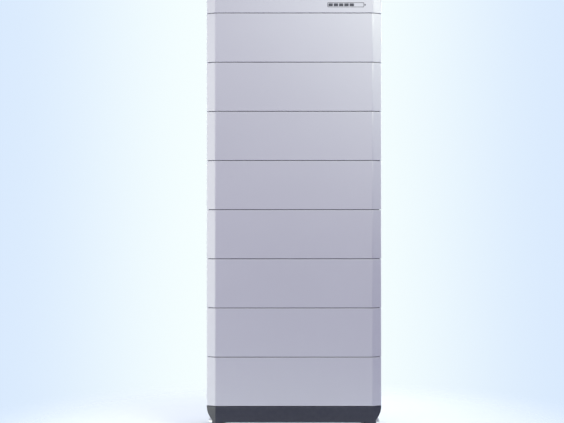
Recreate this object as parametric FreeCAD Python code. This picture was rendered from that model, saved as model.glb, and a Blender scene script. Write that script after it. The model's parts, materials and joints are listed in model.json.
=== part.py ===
"""Stacking battery tower: a plinth on four levelling feet, eight battery modules and a control unit.

Each module is a steel case that is open at the front, closed by a painted front cover, with a pack
of sixteen prismatic cells inside. The modules plug into each other from below and lift straight up.
The frame: +Z up, +X to the right and -Y to the front. The origin is on the floor under the centre.
All sizes are in millimetres.
"""

import FreeCAD
import Part
import math
import os

Vec = FreeCAD.Vector

# Driving dimensions of the tower
WIDTH = 588.0
DEPTH = 298.0
MODULE_COUNT = 8
MODULE_PITCH = 165.0
SEAM = 2.0  # open joint between two stacked units
BASE_HEIGHT = 95.0
CONTROL_HEIGHT = 190.0
CHAMFER_WIDTH = 30.0  # the chamfered front corners, seen from the front
CHAMFER_DEPTH = 16.0
SHEET = 2.0  # steel sheet of cases, covers and lid
CASE_INSET = 1.5  # the cases stand back from the covers, plinth and lid, which leaves room for screw heads

# Fits and gaps
RUNNING_FIT = 0.05  # between a shaft and its bore
HOLE_GAP = 0.5  # round what passes through a sheet

# Places worked out from them
RIGHT = WIDTH / 2
FRONT = -DEPTH / 2
BACK = DEPTH / 2
COVER_BACK = FRONT + 37.5  # where a front cover ends
CASE_FRONT = COVER_BACK + 1.0
CASE_RIGHT = RIGHT - CASE_INSET
CASE_BACK = BACK - CASE_INSET
CONTROL_DATUM = BASE_HEIGHT + MODULE_COUNT * MODULE_PITCH
CHAMFER_ANGLE = math.atan2(CHAMFER_DEPTH, CHAMFER_WIDTH)

# Front covers, each held by four tongues
COVER_CORNER = 3.0  # radius of the upright edges
COVER_RIM = 1.2  # radius of the edges round the top and the bottom
TONGUE_X = 180.0
TONGUE_WIDTH = 30.0
TONGUE_GAP = 0.5
BARB_HEIGHT = 2.5
BARB_GAP = 0.3

# Case details
CASE_CORNER = 8.0  # radius of the two rear corners
FLANGE = 12.0  # folded edge round the open front
GRIP_LENGTH = 120.0
GRIP_HEIGHT = 34.0
GRIP_DEPTH = 24.0
GRIP_Y = 20.0
GRIP_CORNER = 10.0
GRIP_Z = 112.0
VENT_RADIUS = 13.0
VENT_Z = 60.0
VENT_RECESS = 1.5

# Blind-mate connector: a hollow plug tower on top, a socket with a core underneath
PLUG_X = 215.0
PLUG_Y = 20.0
TOWER_LENGTH = 60.0
TOWER_WIDTH = 32.0
TOWER_RISE = 26.0
TOWER_WALL = 2.5
TOWER_GAP = 2.0  # between the tower and the sheet that it passes through
MATE_GAP = 2.0  # between the tower and the socket's walls
SOCKET_WALL = 7.0  # with a gap of 1 to the sheet round it

# Locating pins and seat pads on the top of each unit
PIN_RADIUS = 6.0
PIN_RISE = 16.0
PIN_TIP_RADIUS = 2.5
PIN_PLACES = [(-272.0, 105.0), (250.0, -84.0)]
PAD_RADIUS = 12.0
PAD_PLACES = [(-272.0, -90.0), (272.0, -40.0), (-272.0, 60.0), (272.0, 125.0)]

# Cells
CELL_X = 48.0
CELL_Y = 120.0
CELL_Z = 124.0
CELL_GAP = 1.0
ROW_GAP = 4.0
CELLS_IN_ROW = 8
PACK_LEFT = -254.0
PACK_FLOOR = 10.0
END_PLATE = 10.0
POST_RADIUS = 7.0
POST_RISE = 3.0
POST_OFFSET = 40.0
BUSBAR_SHEET = 2.0
BAND = 1.5
BAND_WIDTH = 20.0
BAND_HEIGHTS = (35.0, 90.0)
CELL_TOP = PACK_FLOOR + CELL_Z
PACK_RIGHT = PACK_LEFT + 2 * END_PLATE + CELLS_IN_ROW * CELL_X + (CELLS_IN_ROW - 1) * CELL_GAP

# Circuit boards
BOARD_SHEET = 1.6
SPACER_RADIUS = 3.0
SPACER_LENGTH = 5.0

# Plinth: the skin's sides curve in towards the floor, and an arch runs between its legs
PLINTH_ARC = 64.0
PLINTH_SIDE_FOOT = 50.0  # height where the curved sides end
ARCH_TOP = 42.7
ARCH_CORNER = 12.0
LEG_INNER = 246.0
LEG_FOOT = 28.0
PLATE_BOTTOM = 42.0
PLATE_TOP = 47.0
PLATE_RIGHT = 287.0
RIB_PLACES = (-180.0, 0.0, 180.0)

# Levelling feet
FOOT_X = 263.5
FOOT_Y = 105.0
BOSS_RADIUS = 17.5
STUD_RADIUS = 6.0
STUD_TOP = 78.0
NECK_RADIUS = 5.0
NECK_BOTTOM = 6.0
PAD_HEIGHT = 12.0
PAD_RIM = 5.0
PAD_FOOT_RADIUS = 25.0
PAD_TOP_RADIUS = 11.0
NUT_BOTTOM = 14.0
NUT_TOP = 22.0
NUT_ACROSS_FLATS = 19.0

# Control unit, with heights above the unit's own datum
KNOB_Y = 20.0
KNOB_Z = 100.0
KNOB_WELL = 92.0
KNOB_WELL_DEPTH = 34.0
SHAFT_RADIUS = 4.0
NICHE_Y = 65.0
NICHE_Z = 96.0
NICHE_LENGTH = 130.0
NICHE_HEIGHT = 108.0
NICHE_DEPTH = 50.0
OUTLET_Z = 118.0
OUTLET_PLACES = (25.0, 70.0)
OUTLET_BORE = 6.0
OUTLET_SHANK = 10.0
SMALL_SOCKET_Z = 72.0  # the data sockets and the earth stud
DATA_PLACES = (15.0, 41.0, 67.0)
DATA_SHANK = 7.0
EARTH_Y = 105.0
EARTH_RADIUS = 3.0
BUTTON_X = -232.0
BUTTON_Z = 150.0
BUTTON_RADIUS = 9.0
BUTTON_STEM = 4.0
LIGHT_X = -178.0
LIGHT_LENGTH = 60.0
LIGHT_HEIGHT = 5.0
ARM_WIDTH = 110.0
ARM_SHEET = 3.0
ARM_Z = 138.0
ARM_WELL_LENGTH = 140.0
ARM_WELL_HEIGHT = 50.0
ARM_WELL_DEPTH = 8.0
ARM_INNER_END = 60.0
WALL_SLOT_X = 40.0
WALL_SLOT_Z = 150.0
WALL_SLOT_RADIUS = 4.25
WALL_SLOT_LENGTH = 20.0
CONTROL_FLOOR = SEAM + SHEET  # the upper side of the case's floor
LID_BOTTOM = CONTROL_HEIGHT - SHEET
NICHE_FLOOR = NICHE_DEPTH - CASE_RIGHT
KNOB_FLOOR = CASE_RIGHT - KNOB_WELL_DEPTH
ARM_WELL_FLOOR = CASE_BACK - ARM_WELL_DEPTH


# ---------------------------------------------------------------- helpers

def block(x_range, y_range, z_range):
    """A box between two X, two Y and two Z values."""
    (x0, x1), (y0, y1), (z0, z1) = x_range, y_range, z_range
    return Part.makeBox(x1 - x0, y1 - y0, z1 - z0, Vec(x0, y0, z0))


def block_at(centre, size):
    """A box of a size round a centre."""
    ranges = [(c - s / 2, c + s / 2) for c, s in zip(centre, size)]
    return block(*ranges)


def rod(radius, start, end):
    """A round bar from one point to another."""
    along = Vec(*end) - Vec(*start)
    return Part.makeCylinder(radius, along.Length, Vec(*start), along)


def prism(points, along):
    """A closed outline of points, extruded by a vector."""
    corners = [Vec(*p) for p in points]
    return Part.Face(Part.makePolygon(corners + corners[:1])).extrude(Vec(*along))


def hexagon(across_flats, start, end):
    """A hexagonal bar from one point to another along X, Y or Z."""
    axis = (Vec(*end) - Vec(*start)).normalize()
    side = Vec(axis.y, axis.z, axis.x)
    up = axis.cross(side)
    reach = across_flats / math.sqrt(3)
    turns = [math.radians(60 * i) for i in range(6)]
    centre = Vec(*start)
    points = [centre + side * (reach * math.cos(t)) + up * (reach * math.sin(t)) for t in turns]
    return prism([tuple(p) for p in points], tuple(Vec(*end) - centre))


def round_edges(shape, radius, wanted):
    """Rounds the edges whose bounding box passes a test."""
    return shape.makeFillet(radius, [e for e in shape.Edges if wanted(e.BoundBox)])


def moved(shapes, z):
    """Copies of solids, lifted by a height."""
    copies = [s.copy() for s in shapes]
    for copy in copies:
        copy.translate(Vec(0, 0, z))
    return copies


def write(node, solids):
    """One STEP file for a node, which may hold several separate solids."""
    whole = []
    for solid in solids:
        whole += solid.Solids
    for solid in whole:
        if not solid.isValid() or solid.Volume <= 0:
            raise RuntimeError(f"{node} holds a solid that isn't valid")
    shape = whole[0] if len(whole) == 1 else Part.makeCompound(whole)
    shape.exportStep(os.path.join("parts", node + ".step"))


# ---------------------------------------------------------------- front covers and cases

def cover_outline(inset, back):
    """Plan outline of a front cover, moved inwards by a wall: flat front, chamfered corners, short sides."""
    side = RIGHT - inset
    front = FRONT + inset
    flat_end = RIGHT - CHAMFER_WIDTH - inset * math.tan(CHAMFER_ANGLE / 2)
    side_start = FRONT + CHAMFER_DEPTH + inset * math.tan((math.pi / 2 - CHAMFER_ANGLE) / 2)
    half = [(side, back), (side, side_start), (flat_end, front)]
    return half + [(-x, y) for x, y in reversed(half)]


def tongue_heights(height):
    """Lowest height of the lower and of the upper pair of tongues."""
    return SEAM + FLANGE + TONGUE_GAP, height - FLANGE - SHEET - TONGUE_GAP


def tongues(height, barbed):
    """Four tongues that reach back from the cover through the case front, some with a barb behind it."""
    root = COVER_BACK - 12
    inside = CASE_FRONT + SHEET
    tip = inside + 3
    parts = []
    for low, inward in zip(tongue_heights(height), (1, -1)):
        wall = SEAM + SHEET if inward > 0 else height - SHEET
        near_side = low + SHEET if inward > 0 else low
        riser_z = sorted((wall - inward, near_side))
        middle = low + SHEET / 2
        barb_z = sorted((middle, middle - BARB_HEIGHT * inward))
        for x in (-TONGUE_X, TONGUE_X):
            x_range = (x - TONGUE_WIDTH / 2, x + TONGUE_WIDTH / 2)
            riser = block(x_range, (root, root + SHEET), riser_z)
            parts.append(riser.fuse(block(x_range, (root, tip), (low, low + SHEET))))
            if barbed:
                parts.append(block(x_range, (inside + BARB_GAP, tip), barb_z))
    return parts


def front_cover(height, barbed):
    """A pressed cover: a tray that is open at the back, with softened edges and four tongues."""
    outer = prism([(x, y, SEAM) for x, y in cover_outline(0, COVER_BACK)], (0, 0, height - SEAM))
    outer = round_edges(outer, COVER_CORNER, lambda b: b.ZLength > 1 and b.YMax < COVER_BACK - 1)
    outer = round_edges(outer, COVER_RIM, lambda b: b.ZLength < 0.01 and b.YMin < COVER_BACK - 0.1)
    hollow = prism(
        [(x, y, SEAM + SHEET) for x, y in cover_outline(SHEET, COVER_BACK + 1)],
        (0, 0, height - SEAM - 2 * SHEET),
    )
    return outer.cut(hollow).multiFuse(tongues(height, barbed)).removeSplitter()


def pressed_well(length, height, depth, corner, turn, place):
    """A well pressed into a wall: its sheet, and the space inside it. Turn 0 opens to +X, 90 to +Y."""
    def body(grow, mouth):
        y_range = (-length / 2 - grow, length / 2 + grow)
        z_range = (-height / 2 - grow, height / 2 + grow)
        shape = block((-depth - grow, mouth), y_range, z_range)
        shape = round_edges(shape, corner + grow, lambda b: b.XLength > 1)
        shape.rotate(Vec(0, 0, 0), Vec(0, 0, 1), turn)
        shape.translate(Vec(*place))
        return shape
    return body(SHEET, -SHEET / 2), body(0.0, SHEET)


def add_well(case, *well):
    """The case with a pressed well in one wall."""
    sheet, space = pressed_well(*well)
    return case.fuse(sheet).cut(space)


def case_shell(bottom, top):
    """The outer block of a case and the space inside its walls. Both have rounded rear corners."""
    outer = block((-CASE_RIGHT, CASE_RIGHT), (CASE_FRONT, CASE_BACK), (bottom, top))
    outer = round_edges(outer, CASE_CORNER, lambda b: b.ZLength > 1 and b.YMin > 0)
    wide = CASE_RIGHT - SHEET
    inner = block((-wide, wide), (CASE_FRONT + SHEET, CASE_BACK - SHEET), (bottom + SHEET, top - SHEET))
    inner = round_edges(inner, CASE_CORNER - SHEET, lambda b: b.ZLength > 1 and b.YMin > 0)
    return outer, inner


def tower_opening(z, gap):
    """A cutter for the opening round a plug tower, through a sheet at a height."""
    return block_at((PLUG_X, PLUG_Y, z), (TOWER_LENGTH + 2 * gap, TOWER_WIDTH + 2 * gap, 3 * SHEET))


def cut_underside(case):
    """The case with the socket opening and the two pin holes in its floor."""
    case = case.cut(tower_opening(SEAM, SOCKET_WALL + MATE_GAP))
    for x, y in PIN_PLACES:
        case = case.cut(rod(PIN_RADIUS + HOLE_GAP, (x, y, 0), (x, y, 3 * SHEET)))
    return case


# ---------------------------------------------------------------- parts that every unit has

def plug(top):
    """The hollow plug tower: it stands through the top sheet on a flange that lies under the sheet."""
    flange_rise = 4.0
    flange_edge = 12.0
    flange = block_at(
        (PLUG_X, PLUG_Y, top - SHEET - flange_rise / 2),
        (TOWER_LENGTH + 2 * flange_edge, TOWER_WIDTH + 2 * flange_edge, flange_rise),
    )
    tower = block_at((PLUG_X, PLUG_Y, top), (TOWER_LENGTH, TOWER_WIDTH, 2 * TOWER_RISE))
    tower = round_edges(tower, 4.0, lambda b: b.ZLength > 1)
    well = block(
        (PLUG_X - TOWER_LENGTH / 2 + TOWER_WALL, PLUG_X + TOWER_LENGTH / 2 - TOWER_WALL),
        (PLUG_Y - TOWER_WIDTH / 2 + TOWER_WALL, PLUG_Y + TOWER_WIDTH / 2 - TOWER_WALL),
        (top + 1, top + TOWER_RISE + 1),
    )
    return tower.fuse(flange).cut(well)


def socket():
    """The socket in the floor of a unit: a housing that is open below, with a core that enters the plug."""
    rise = 34.0
    wall = 6.0
    rim_edge = 8.0
    rim_rise = 3.0
    well_top = 32.0
    length = TOWER_LENGTH + 2 * MATE_GAP
    width = TOWER_WIDTH + 2 * MATE_GAP
    housing = block_at((PLUG_X, PLUG_Y, SEAM + rise / 2), (length + 2 * wall, width + 2 * wall, rise))
    rim = block_at(
        (PLUG_X, PLUG_Y, SEAM + SHEET + rim_rise / 2),
        (length + 2 * (wall + rim_edge), width + 2 * (wall + rim_edge), rim_rise),
    )
    well = block_at((PLUG_X, PLUG_Y, 0), (length, width, 2 * well_top))
    core = block((PLUG_X - 25, PLUG_X + 25), (PLUG_Y - 11, PLUG_Y + 11), (8.0, well_top + 1))
    return housing.fuse(rim).cut(well).fuse(core)


def locating_pin(x, y, top):
    """A pin with a cone at its tip, which finds the hole in the unit above."""
    cone_rise = 5.0
    cone_foot = top + PIN_RISE - cone_rise
    shank = rod(PIN_RADIUS, (x, y, top), (x, y, cone_foot))
    tip = Part.makeCone(PIN_RADIUS, PIN_TIP_RADIUS, cone_rise, Vec(x, y, cone_foot))
    return shank.fuse(tip).removeSplitter()


def top_fittings(top):
    """What stands on the top of the plinth and of each module: plug, two pins, four seat pads."""
    pins = [locating_pin(x, y, top) for x, y in PIN_PLACES]
    pads = [rod(PAD_RADIUS, (x, y, top), (x, y, top + SEAM)) for x, y in PAD_PLACES]
    return [plug(top)] + pins + pads


# ---------------------------------------------------------------- battery module

def module_case():
    """A steel case, open at the front inside a folded edge, with a grip well in each side."""
    outer, inner = case_shell(SEAM, MODULE_PITCH)
    wide = CASE_RIGHT - SHEET - FLANGE
    mouth = block(
        (-wide, wide),
        (CASE_FRONT - 1, CASE_FRONT + 2 * SHEET),
        (SEAM + FLANGE, MODULE_PITCH - FLANGE),
    )
    case = outer.cut(inner).cut(mouth)
    for turn, x in ((180, -CASE_RIGHT), (0, CASE_RIGHT)):
        case = add_well(case, GRIP_LENGTH, GRIP_HEIGHT, GRIP_DEPTH, GRIP_CORNER, turn, (x, GRIP_Y, GRIP_Z))
    case = cut_underside(case).cut(tower_opening(MODULE_PITCH, TOWER_GAP))
    vent_hole = rod(VENT_RADIUS + HOLE_GAP, (0, CASE_BACK - 3 * SHEET, VENT_Z), (0, CASE_BACK + 1, VENT_Z))
    return case.cut(vent_hole).removeSplitter()


def relief_vent():
    """The pressure relief vent in the back: a flanged disc, which lies a little below the sheet's face."""
    inside = CASE_BACK - SHEET
    flange_edge = 6.0
    flange_rise = 3.0
    disc = rod(VENT_RADIUS, (0, inside - flange_rise - 0.5, VENT_Z), (0, CASE_BACK - VENT_RECESS, VENT_Z))
    flange = rod(VENT_RADIUS + flange_edge, (0, inside - flange_rise, VENT_Z), (0, inside, VENT_Z))
    return disc.fuse(flange).removeSplitter()


def cell_rows():
    """Y centre of the front and the back row of cells."""
    middle = (CASE_FRONT + CASE_BACK) / 2
    return middle - (CELL_Y + ROW_GAP) / 2, middle + (CELL_Y + ROW_GAP) / 2


def cell_centre_x(i):
    """X centre of a cell, counted from the left."""
    return PACK_LEFT + END_PLATE + CELL_X / 2 + i * (CELL_X + CELL_GAP)


def cell(x, y):
    """A prismatic can with its two terminal posts."""
    can = block_at((x, y, PACK_FLOOR + CELL_Z / 2), (CELL_X, CELL_Y, CELL_Z))
    for side in (-1, 1):
        post_y = y + side * POST_OFFSET
        can = can.fuse(rod(POST_RADIUS, (x, post_y, CELL_TOP), (x, post_y, CELL_TOP + POST_RISE)))
    return can


def busbars():
    """Bars that join the cells of each row in series, on alternate sides, and the link between rows."""
    bottom = CELL_TOP + POST_RISE
    z_range = (bottom, bottom + BUSBAR_SHEET)
    half_width = 8.0
    overhang = 9.0
    bars = []
    for row, y in enumerate(cell_rows()):
        for i in range(CELLS_IN_ROW - 1):
            side = (1 if i % 2 else -1) * (-1 if row else 1)
            post_y = y + side * POST_OFFSET
            x_range = (cell_centre_x(i) - overhang, cell_centre_x(i + 1) + overhang)
            bars.append(block(x_range, (post_y - half_width, post_y + half_width), z_range))
    front_row, back_row = cell_rows()
    x = cell_centre_x(0)
    link_y = (front_row + POST_OFFSET - overhang, back_row - POST_OFFSET + overhang)
    bars.append(block((x - half_width, x + half_width), link_y, z_range))
    return bars


def pack_clamp():
    """Two end plates and the two steel bands that squeeze the cells between them."""
    front_row, back_row = cell_rows()
    y_range = (front_row - CELL_Y / 2, back_row + CELL_Y / 2)
    z_range = (PACK_FLOOR, CELL_TOP - 4)
    plates = [block((x, x + END_PLATE), y_range, z_range) for x in (PACK_LEFT, PACK_RIGHT - END_PLATE)]
    bands = []
    for z in BAND_HEIGHTS:
        hoop = block(
            (PACK_LEFT - BAND, PACK_RIGHT + BAND),
            (y_range[0] - BAND, y_range[1] + BAND),
            (z, z + BAND_WIDTH),
        )
        bands.append(hoop.cut(block((PACK_LEFT, PACK_RIGHT), y_range, (z - 1, z + BAND_WIDTH + 1))))
    return plates + bands


def monitor_board():
    """The cell monitor board on spacers at the right end of the pack, and the fuse beside it."""
    right = PACK_RIGHT + BAND
    back = right + SPACER_LENGTH
    board = block((back, back + BOARD_SHEET), (-75.0, 115.0), (14.0, 128.0))
    spacers = [
        rod(SPACER_RADIUS, (right, y, z), (back, y, z))
        for y in (-68.0, 108.0)
        for z in (45.0, 100.0)
    ]
    fuse_z = 60.0
    front_end = -85.0
    rear_end = -25.0
    cap_length = 8.0
    fuse = rod(13.0, (PLUG_X, front_end, fuse_z), (PLUG_X, rear_end, fuse_z))
    caps = [
        rod(14.5, (PLUG_X, y, fuse_z), (PLUG_X, y + cap_length, fuse_z))
        for y in (front_end - cap_length, rear_end)
    ]
    return [board, fuse] + spacers + caps


def cell_pack():
    """Sixteen cells in two rows, with all that joins, clamps and watches them."""
    cells = [cell(cell_centre_x(i), y) for y in cell_rows() for i in range(CELLS_IN_ROW)]
    return cells + busbars() + pack_clamp() + monitor_board()


def module_fittings():
    """What a module carries outside its case's sheet."""
    return top_fittings(MODULE_PITCH) + [socket(), relief_vent()]


# ---------------------------------------------------------------- plinth and feet

def plinth_curve(inset):
    """Front view of one curved side of the skin: its top, middle and foot, moved inwards by a wall."""
    radius = PLINTH_ARC - inset
    first = math.asin(inset / radius)
    last = math.asin((BASE_HEIGHT - PLINTH_SIDE_FOOT) / radius)
    centre = RIGHT - PLINTH_ARC
    turns = (first, (first + last) / 2, last)
    return [Vec(centre + radius * math.cos(t), FRONT - 1, BASE_HEIGHT - radius * math.sin(t)) for t in turns]


def mirrored_body(edges):
    """The right half of a front view, extruded from front to back and joined to its mirror image."""
    half = Part.Face(Part.Wire(edges)).extrude(Vec(0, DEPTH + 2, 0))
    return half.fuse(half.mirror(Vec(0, 0, 0), Vec(1, 0, 0))).removeSplitter()


def line_edges(points):
    """Straight edges from each point to the next."""
    return [Part.LineSegment(a, b).toShape() for a, b in zip(points, points[1:])]


def plinth_outside():
    """The skin's front view with its legs and the arch between them."""
    top, middle, foot = plinth_curve(0)
    y = top.y
    slant = ARCH_CORNER * (1 - math.sqrt(0.5))
    arch_side = Vec(LEG_INNER, y, ARCH_TOP - ARCH_CORNER)
    arch_middle = Vec(LEG_INNER - slant, y, ARCH_TOP - slant)
    arch_end = Vec(LEG_INNER - ARCH_CORNER, y, ARCH_TOP)
    down = [foot, Vec(foot.x, y, LEG_FOOT), Vec(LEG_INNER, y, LEG_FOOT), arch_side]
    back = [arch_end, Vec(0, y, ARCH_TOP), Vec(0, y, BASE_HEIGHT), top]
    edges = [Part.Arc(top, middle, foot).toShape()]
    edges += line_edges(down)
    edges.append(Part.Arc(arch_side, arch_middle, arch_end).toShape())
    return mirrored_body(edges + line_edges(back))


def plinth_inside():
    """The space under the skin. Below the curved sides it is open sideways too, down to the floor."""
    top, middle, foot = plinth_curve(SHEET)
    y = top.y
    down = [
        foot,
        Vec(RIGHT, y, foot.z),
        Vec(RIGHT, y, 0),
        Vec(0, y, 0),
        Vec(0, y, BASE_HEIGHT - SHEET),
        top,
    ]
    return mirrored_body([Part.Arc(top, middle, foot).toShape()] + line_edges(down))


def plinth_plan(inset):
    """Plan view of the plinth as a tall body: chamfered front corners, rounded rear corners."""
    outline = [(x, y, 0.0) for x, y in cover_outline(inset, BACK - inset)]
    body = prism(outline, (0, 0, BASE_HEIGHT))
    body = round_edges(body, CASE_CORNER - inset, lambda b: b.ZLength > 1 and b.YMin > 0)
    return round_edges(body, COVER_CORNER, lambda b: b.ZLength > 1 and b.YMax < 0)


def plinth():
    """The painted skin: top, front, back and the two curved sides."""
    skin = plinth_outside().common(plinth_plan(0))
    skin = skin.cut(plinth_inside().common(plinth_plan(SHEET)))
    return skin.cut(tower_opening(BASE_HEIGHT, TOWER_GAP))


def foot_places():
    """Front left, front right, rear left, rear right."""
    return [(x, y) for y in (-FOOT_Y, FOOT_Y) for x in (-FOOT_X, FOOT_X)]


def base_plate():
    """The steel plate that carries the tower, between the skin and the feet, with six stiffening ribs."""
    rib_half = 30.0
    rib_sheet = 3.0
    inset = SHEET + 0.3
    outline = [(x, y, PLATE_BOTTOM) for x, y in cover_outline(inset, BACK - inset)]
    plate = prism(outline, (0, 0, PLATE_TOP - PLATE_BOTTOM))
    plate = plate.common(block((-PLATE_RIGHT, PLATE_RIGHT), (FRONT, BACK), (0, BASE_HEIGHT)))
    rib_z = (PLATE_BOTTOM + 1, BASE_HEIGHT - SHEET)
    for x in RIB_PLACES:
        for y in (-FOOT_Y, FOOT_Y - rib_sheet):
            plate = plate.fuse(block((x - rib_half, x + rib_half), (y, y + rib_sheet), rib_z))
    for x, y in foot_places():
        plate = plate.cut(rod(STUD_RADIUS + 0.6, (x, y, 0), (x, y, BASE_HEIGHT)))
    return plate.removeSplitter()


def foot_bosses():
    """Four threaded bosses under the plate. The thread is a plain bore with a running fit."""
    bosses = []
    for x, y in foot_places():
        boss = rod(BOSS_RADIUS, (x, y, LEG_FOOT), (x, y, PLATE_BOTTOM))
        boss = boss.cut(rod(STUD_RADIUS + RUNNING_FIT, (x, y, 0), (x, y, BASE_HEIGHT)))
        boxes = [(e, e.BoundBox) for e in boss.Edges]
        lower_rim = [e for e, b in boxes if b.ZMax < LEG_FOOT + 0.1 and b.XLength > BOSS_RADIUS]
        bosses.append(boss.makeChamfer(1.5, lower_rim))
    return bosses


def foot_stud(x, y):
    """A stud with a hexagon for the spanner and a neck that turns in the pad."""
    stud = rod(STUD_RADIUS, (x, y, PAD_HEIGHT), (x, y, STUD_TOP))
    neck = rod(NECK_RADIUS, (x, y, NECK_BOTTOM), (x, y, PAD_HEIGHT))
    nut = hexagon(NUT_ACROSS_FLATS, (x, y, NUT_BOTTOM), (x, y, NUT_TOP))
    return stud.fuse(neck).fuse(nut).removeSplitter()


def foot_pad(x, y):
    """A round pad with a cone on top, in which the neck of the stud turns."""
    rim = rod(PAD_FOOT_RADIUS, (x, y, 0), (x, y, PAD_RIM))
    cone = Part.makeCone(PAD_FOOT_RADIUS - 2, PAD_TOP_RADIUS, PAD_HEIGHT - PAD_RIM, Vec(x, y, PAD_RIM))
    hole = rod(NECK_RADIUS + RUNNING_FIT, (x, y, NECK_BOTTOM - 0.1), (x, y, PAD_HEIGHT + 1))
    return rim.fuse(cone).cut(hole).removeSplitter()


# ---------------------------------------------------------------- control unit

def cut_arm_guide(case):
    """The case with a block behind its back wall, in which the arm of the wall bracket slides."""
    edge = 5.0
    half = ARM_WIDTH / 2 + edge
    guide_z = (ARM_Z - edge, ARM_Z + edge)
    case = case.fuse(block((-half, half), (ARM_INNER_END, ARM_WELL_FLOOR - 1), guide_z))
    gap = 0.3
    channel = block(
        (-ARM_WIDTH / 2 - gap, ARM_WIDTH / 2 + gap),
        (ARM_INNER_END - 15, ARM_WELL_FLOOR + 15.5),
        (ARM_Z - ARM_SHEET / 2 - gap, ARM_Z + ARM_SHEET / 2 + gap),
    )
    return case.cut(channel)


def cut_niche_floor(case):
    """The case with a hole for each connector in the floor of the niche."""
    holes = [(y, OUTLET_Z, OUTLET_SHANK + 0.3) for y in OUTLET_PLACES]
    holes += [(y, SMALL_SOCKET_Z, DATA_SHANK + 0.3) for y in DATA_PLACES]
    holes.append((EARTH_Y, SMALL_SOCKET_Z, EARTH_RADIUS + 0.2))
    for y, z, radius in holes:
        case = case.cut(rod(radius, (NICHE_FLOOR - 5, y, z), (NICHE_FLOOR + 5, y, z)))
    return case


def control_case():
    """The case of the control unit: open on top, with a knob well, a connector niche and a bracket guide."""
    outer, inner = case_shell(SEAM, CONTROL_HEIGHT)
    case = outer.cut(inner).cut(block((-WIDTH, WIDTH), (-DEPTH, DEPTH), (LID_BOTTOM, CONTROL_HEIGHT + 1)))
    case = add_well(case, KNOB_WELL, KNOB_WELL, KNOB_WELL_DEPTH, 12.0, 0, (CASE_RIGHT, KNOB_Y, KNOB_Z))
    case = add_well(case, NICHE_LENGTH, NICHE_HEIGHT, NICHE_DEPTH, 12.0, 180, (-CASE_RIGHT, NICHE_Y, NICHE_Z))
    case = add_well(case, ARM_WELL_LENGTH, ARM_WELL_HEIGHT, ARM_WELL_DEPTH, 6.0, 90, (0, CASE_BACK, ARM_Z))
    case = cut_niche_floor(cut_underside(cut_arm_guide(case)))
    shaft_hole = rod(SHAFT_RADIUS + RUNNING_FIT, (KNOB_FLOOR - 50, KNOB_Y, KNOB_Z), (RIGHT, KNOB_Y, KNOB_Z))
    stem_hole = rod(BUTTON_STEM + 0.1, (BUTTON_X, FRONT, BUTTON_Z), (BUTTON_X, 0, BUTTON_Z))
    case = case.cut(shaft_hole).cut(stem_hole)
    for low in tongue_heights(CONTROL_HEIGHT):
        for x in (-TONGUE_X, TONGUE_X):
            size = (TONGUE_WIDTH + 1, 3 * SHEET, SHEET + 1)
            case = case.cut(block_at((x, CASE_FRONT + SHEET / 2, low + SHEET / 2), size))
    return case.removeSplitter()


def control_lid():
    """A flat lid with a skirt that drops inside the walls."""
    gap = 0.3
    skirt_sheet = 1.5
    skirt_drop = 8.0
    plate = block((-RIGHT, RIGHT), (CASE_FRONT, BACK), (LID_BOTTOM, CONTROL_HEIGHT))
    plate = round_edges(plate, CASE_CORNER, lambda b: b.ZLength > 1 and b.YMin > 0)
    plate = round_edges(plate, 0.8, lambda b: b.ZMin > CONTROL_HEIGHT - 0.1)

    def skirt_body(inset, bottom):
        wide = CASE_RIGHT - SHEET - gap - inset
        y_range = (CASE_FRONT + SHEET + gap + inset, CASE_BACK - SHEET - gap - inset)
        body = block((-wide, wide), y_range, (bottom, LID_BOTTOM))
        return round_edges(body, CASE_CORNER - SHEET - inset, lambda b: b.ZLength > 1 and b.YMin > 0)

    skirt = skirt_body(0, LID_BOTTOM - skirt_drop).cut(skirt_body(skirt_sheet, 0))
    return plate.fuse(skirt).removeSplitter()


def control_front_cover():
    """The pull-off cover, with a hole for the button and a slot for the light."""
    cover = front_cover(CONTROL_HEIGHT, barbed=False)
    hole = rod(BUTTON_RADIUS + HOLE_GAP, (BUTTON_X, FRONT - 1, BUTTON_Z), (BUTTON_X, FRONT + 5, BUTTON_Z))
    slot = block_at((LIGHT_X, FRONT, BUTTON_Z), (LIGHT_LENGTH + 1, 5 * SHEET, LIGHT_HEIGHT + 1))
    return cover.cut(hole).cut(slot)


def power_button():
    """A round cap on a stem that passes through the case front."""
    face = FRONT + 0.4
    shoulder = FRONT + 8.0
    cap = rod(BUTTON_RADIUS, (BUTTON_X, face, BUTTON_Z), (BUTTON_X, shoulder, BUTTON_Z))
    cap = round_edges(cap, 0.8, lambda b: b.YMax < face + 0.1)
    stem = rod(BUTTON_STEM, (BUTTON_X, shoulder, BUTTON_Z), (BUTTON_X, CASE_FRONT + 8, BUTTON_Z))
    return cap.fuse(stem).removeSplitter()


def status_light():
    """A light guide that reaches the slot in the cover, and the small board that it stands on."""
    face = FRONT + 0.3
    board_sheet = 3.0
    guide = block(
        (LIGHT_X - LIGHT_LENGTH / 2, LIGHT_X + LIGHT_LENGTH / 2),
        (face, CASE_FRONT - board_sheet),
        (BUTTON_Z - LIGHT_HEIGHT / 2, BUTTON_Z + LIGHT_HEIGHT / 2),
    )
    guide = round_edges(guide, 2.0, lambda b: b.YLength > 5)
    board = block_at((LIGHT_X, CASE_FRONT - board_sheet / 2, BUTTON_Z), (LIGHT_LENGTH + 12, board_sheet, 14))
    return [guide, board]


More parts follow.
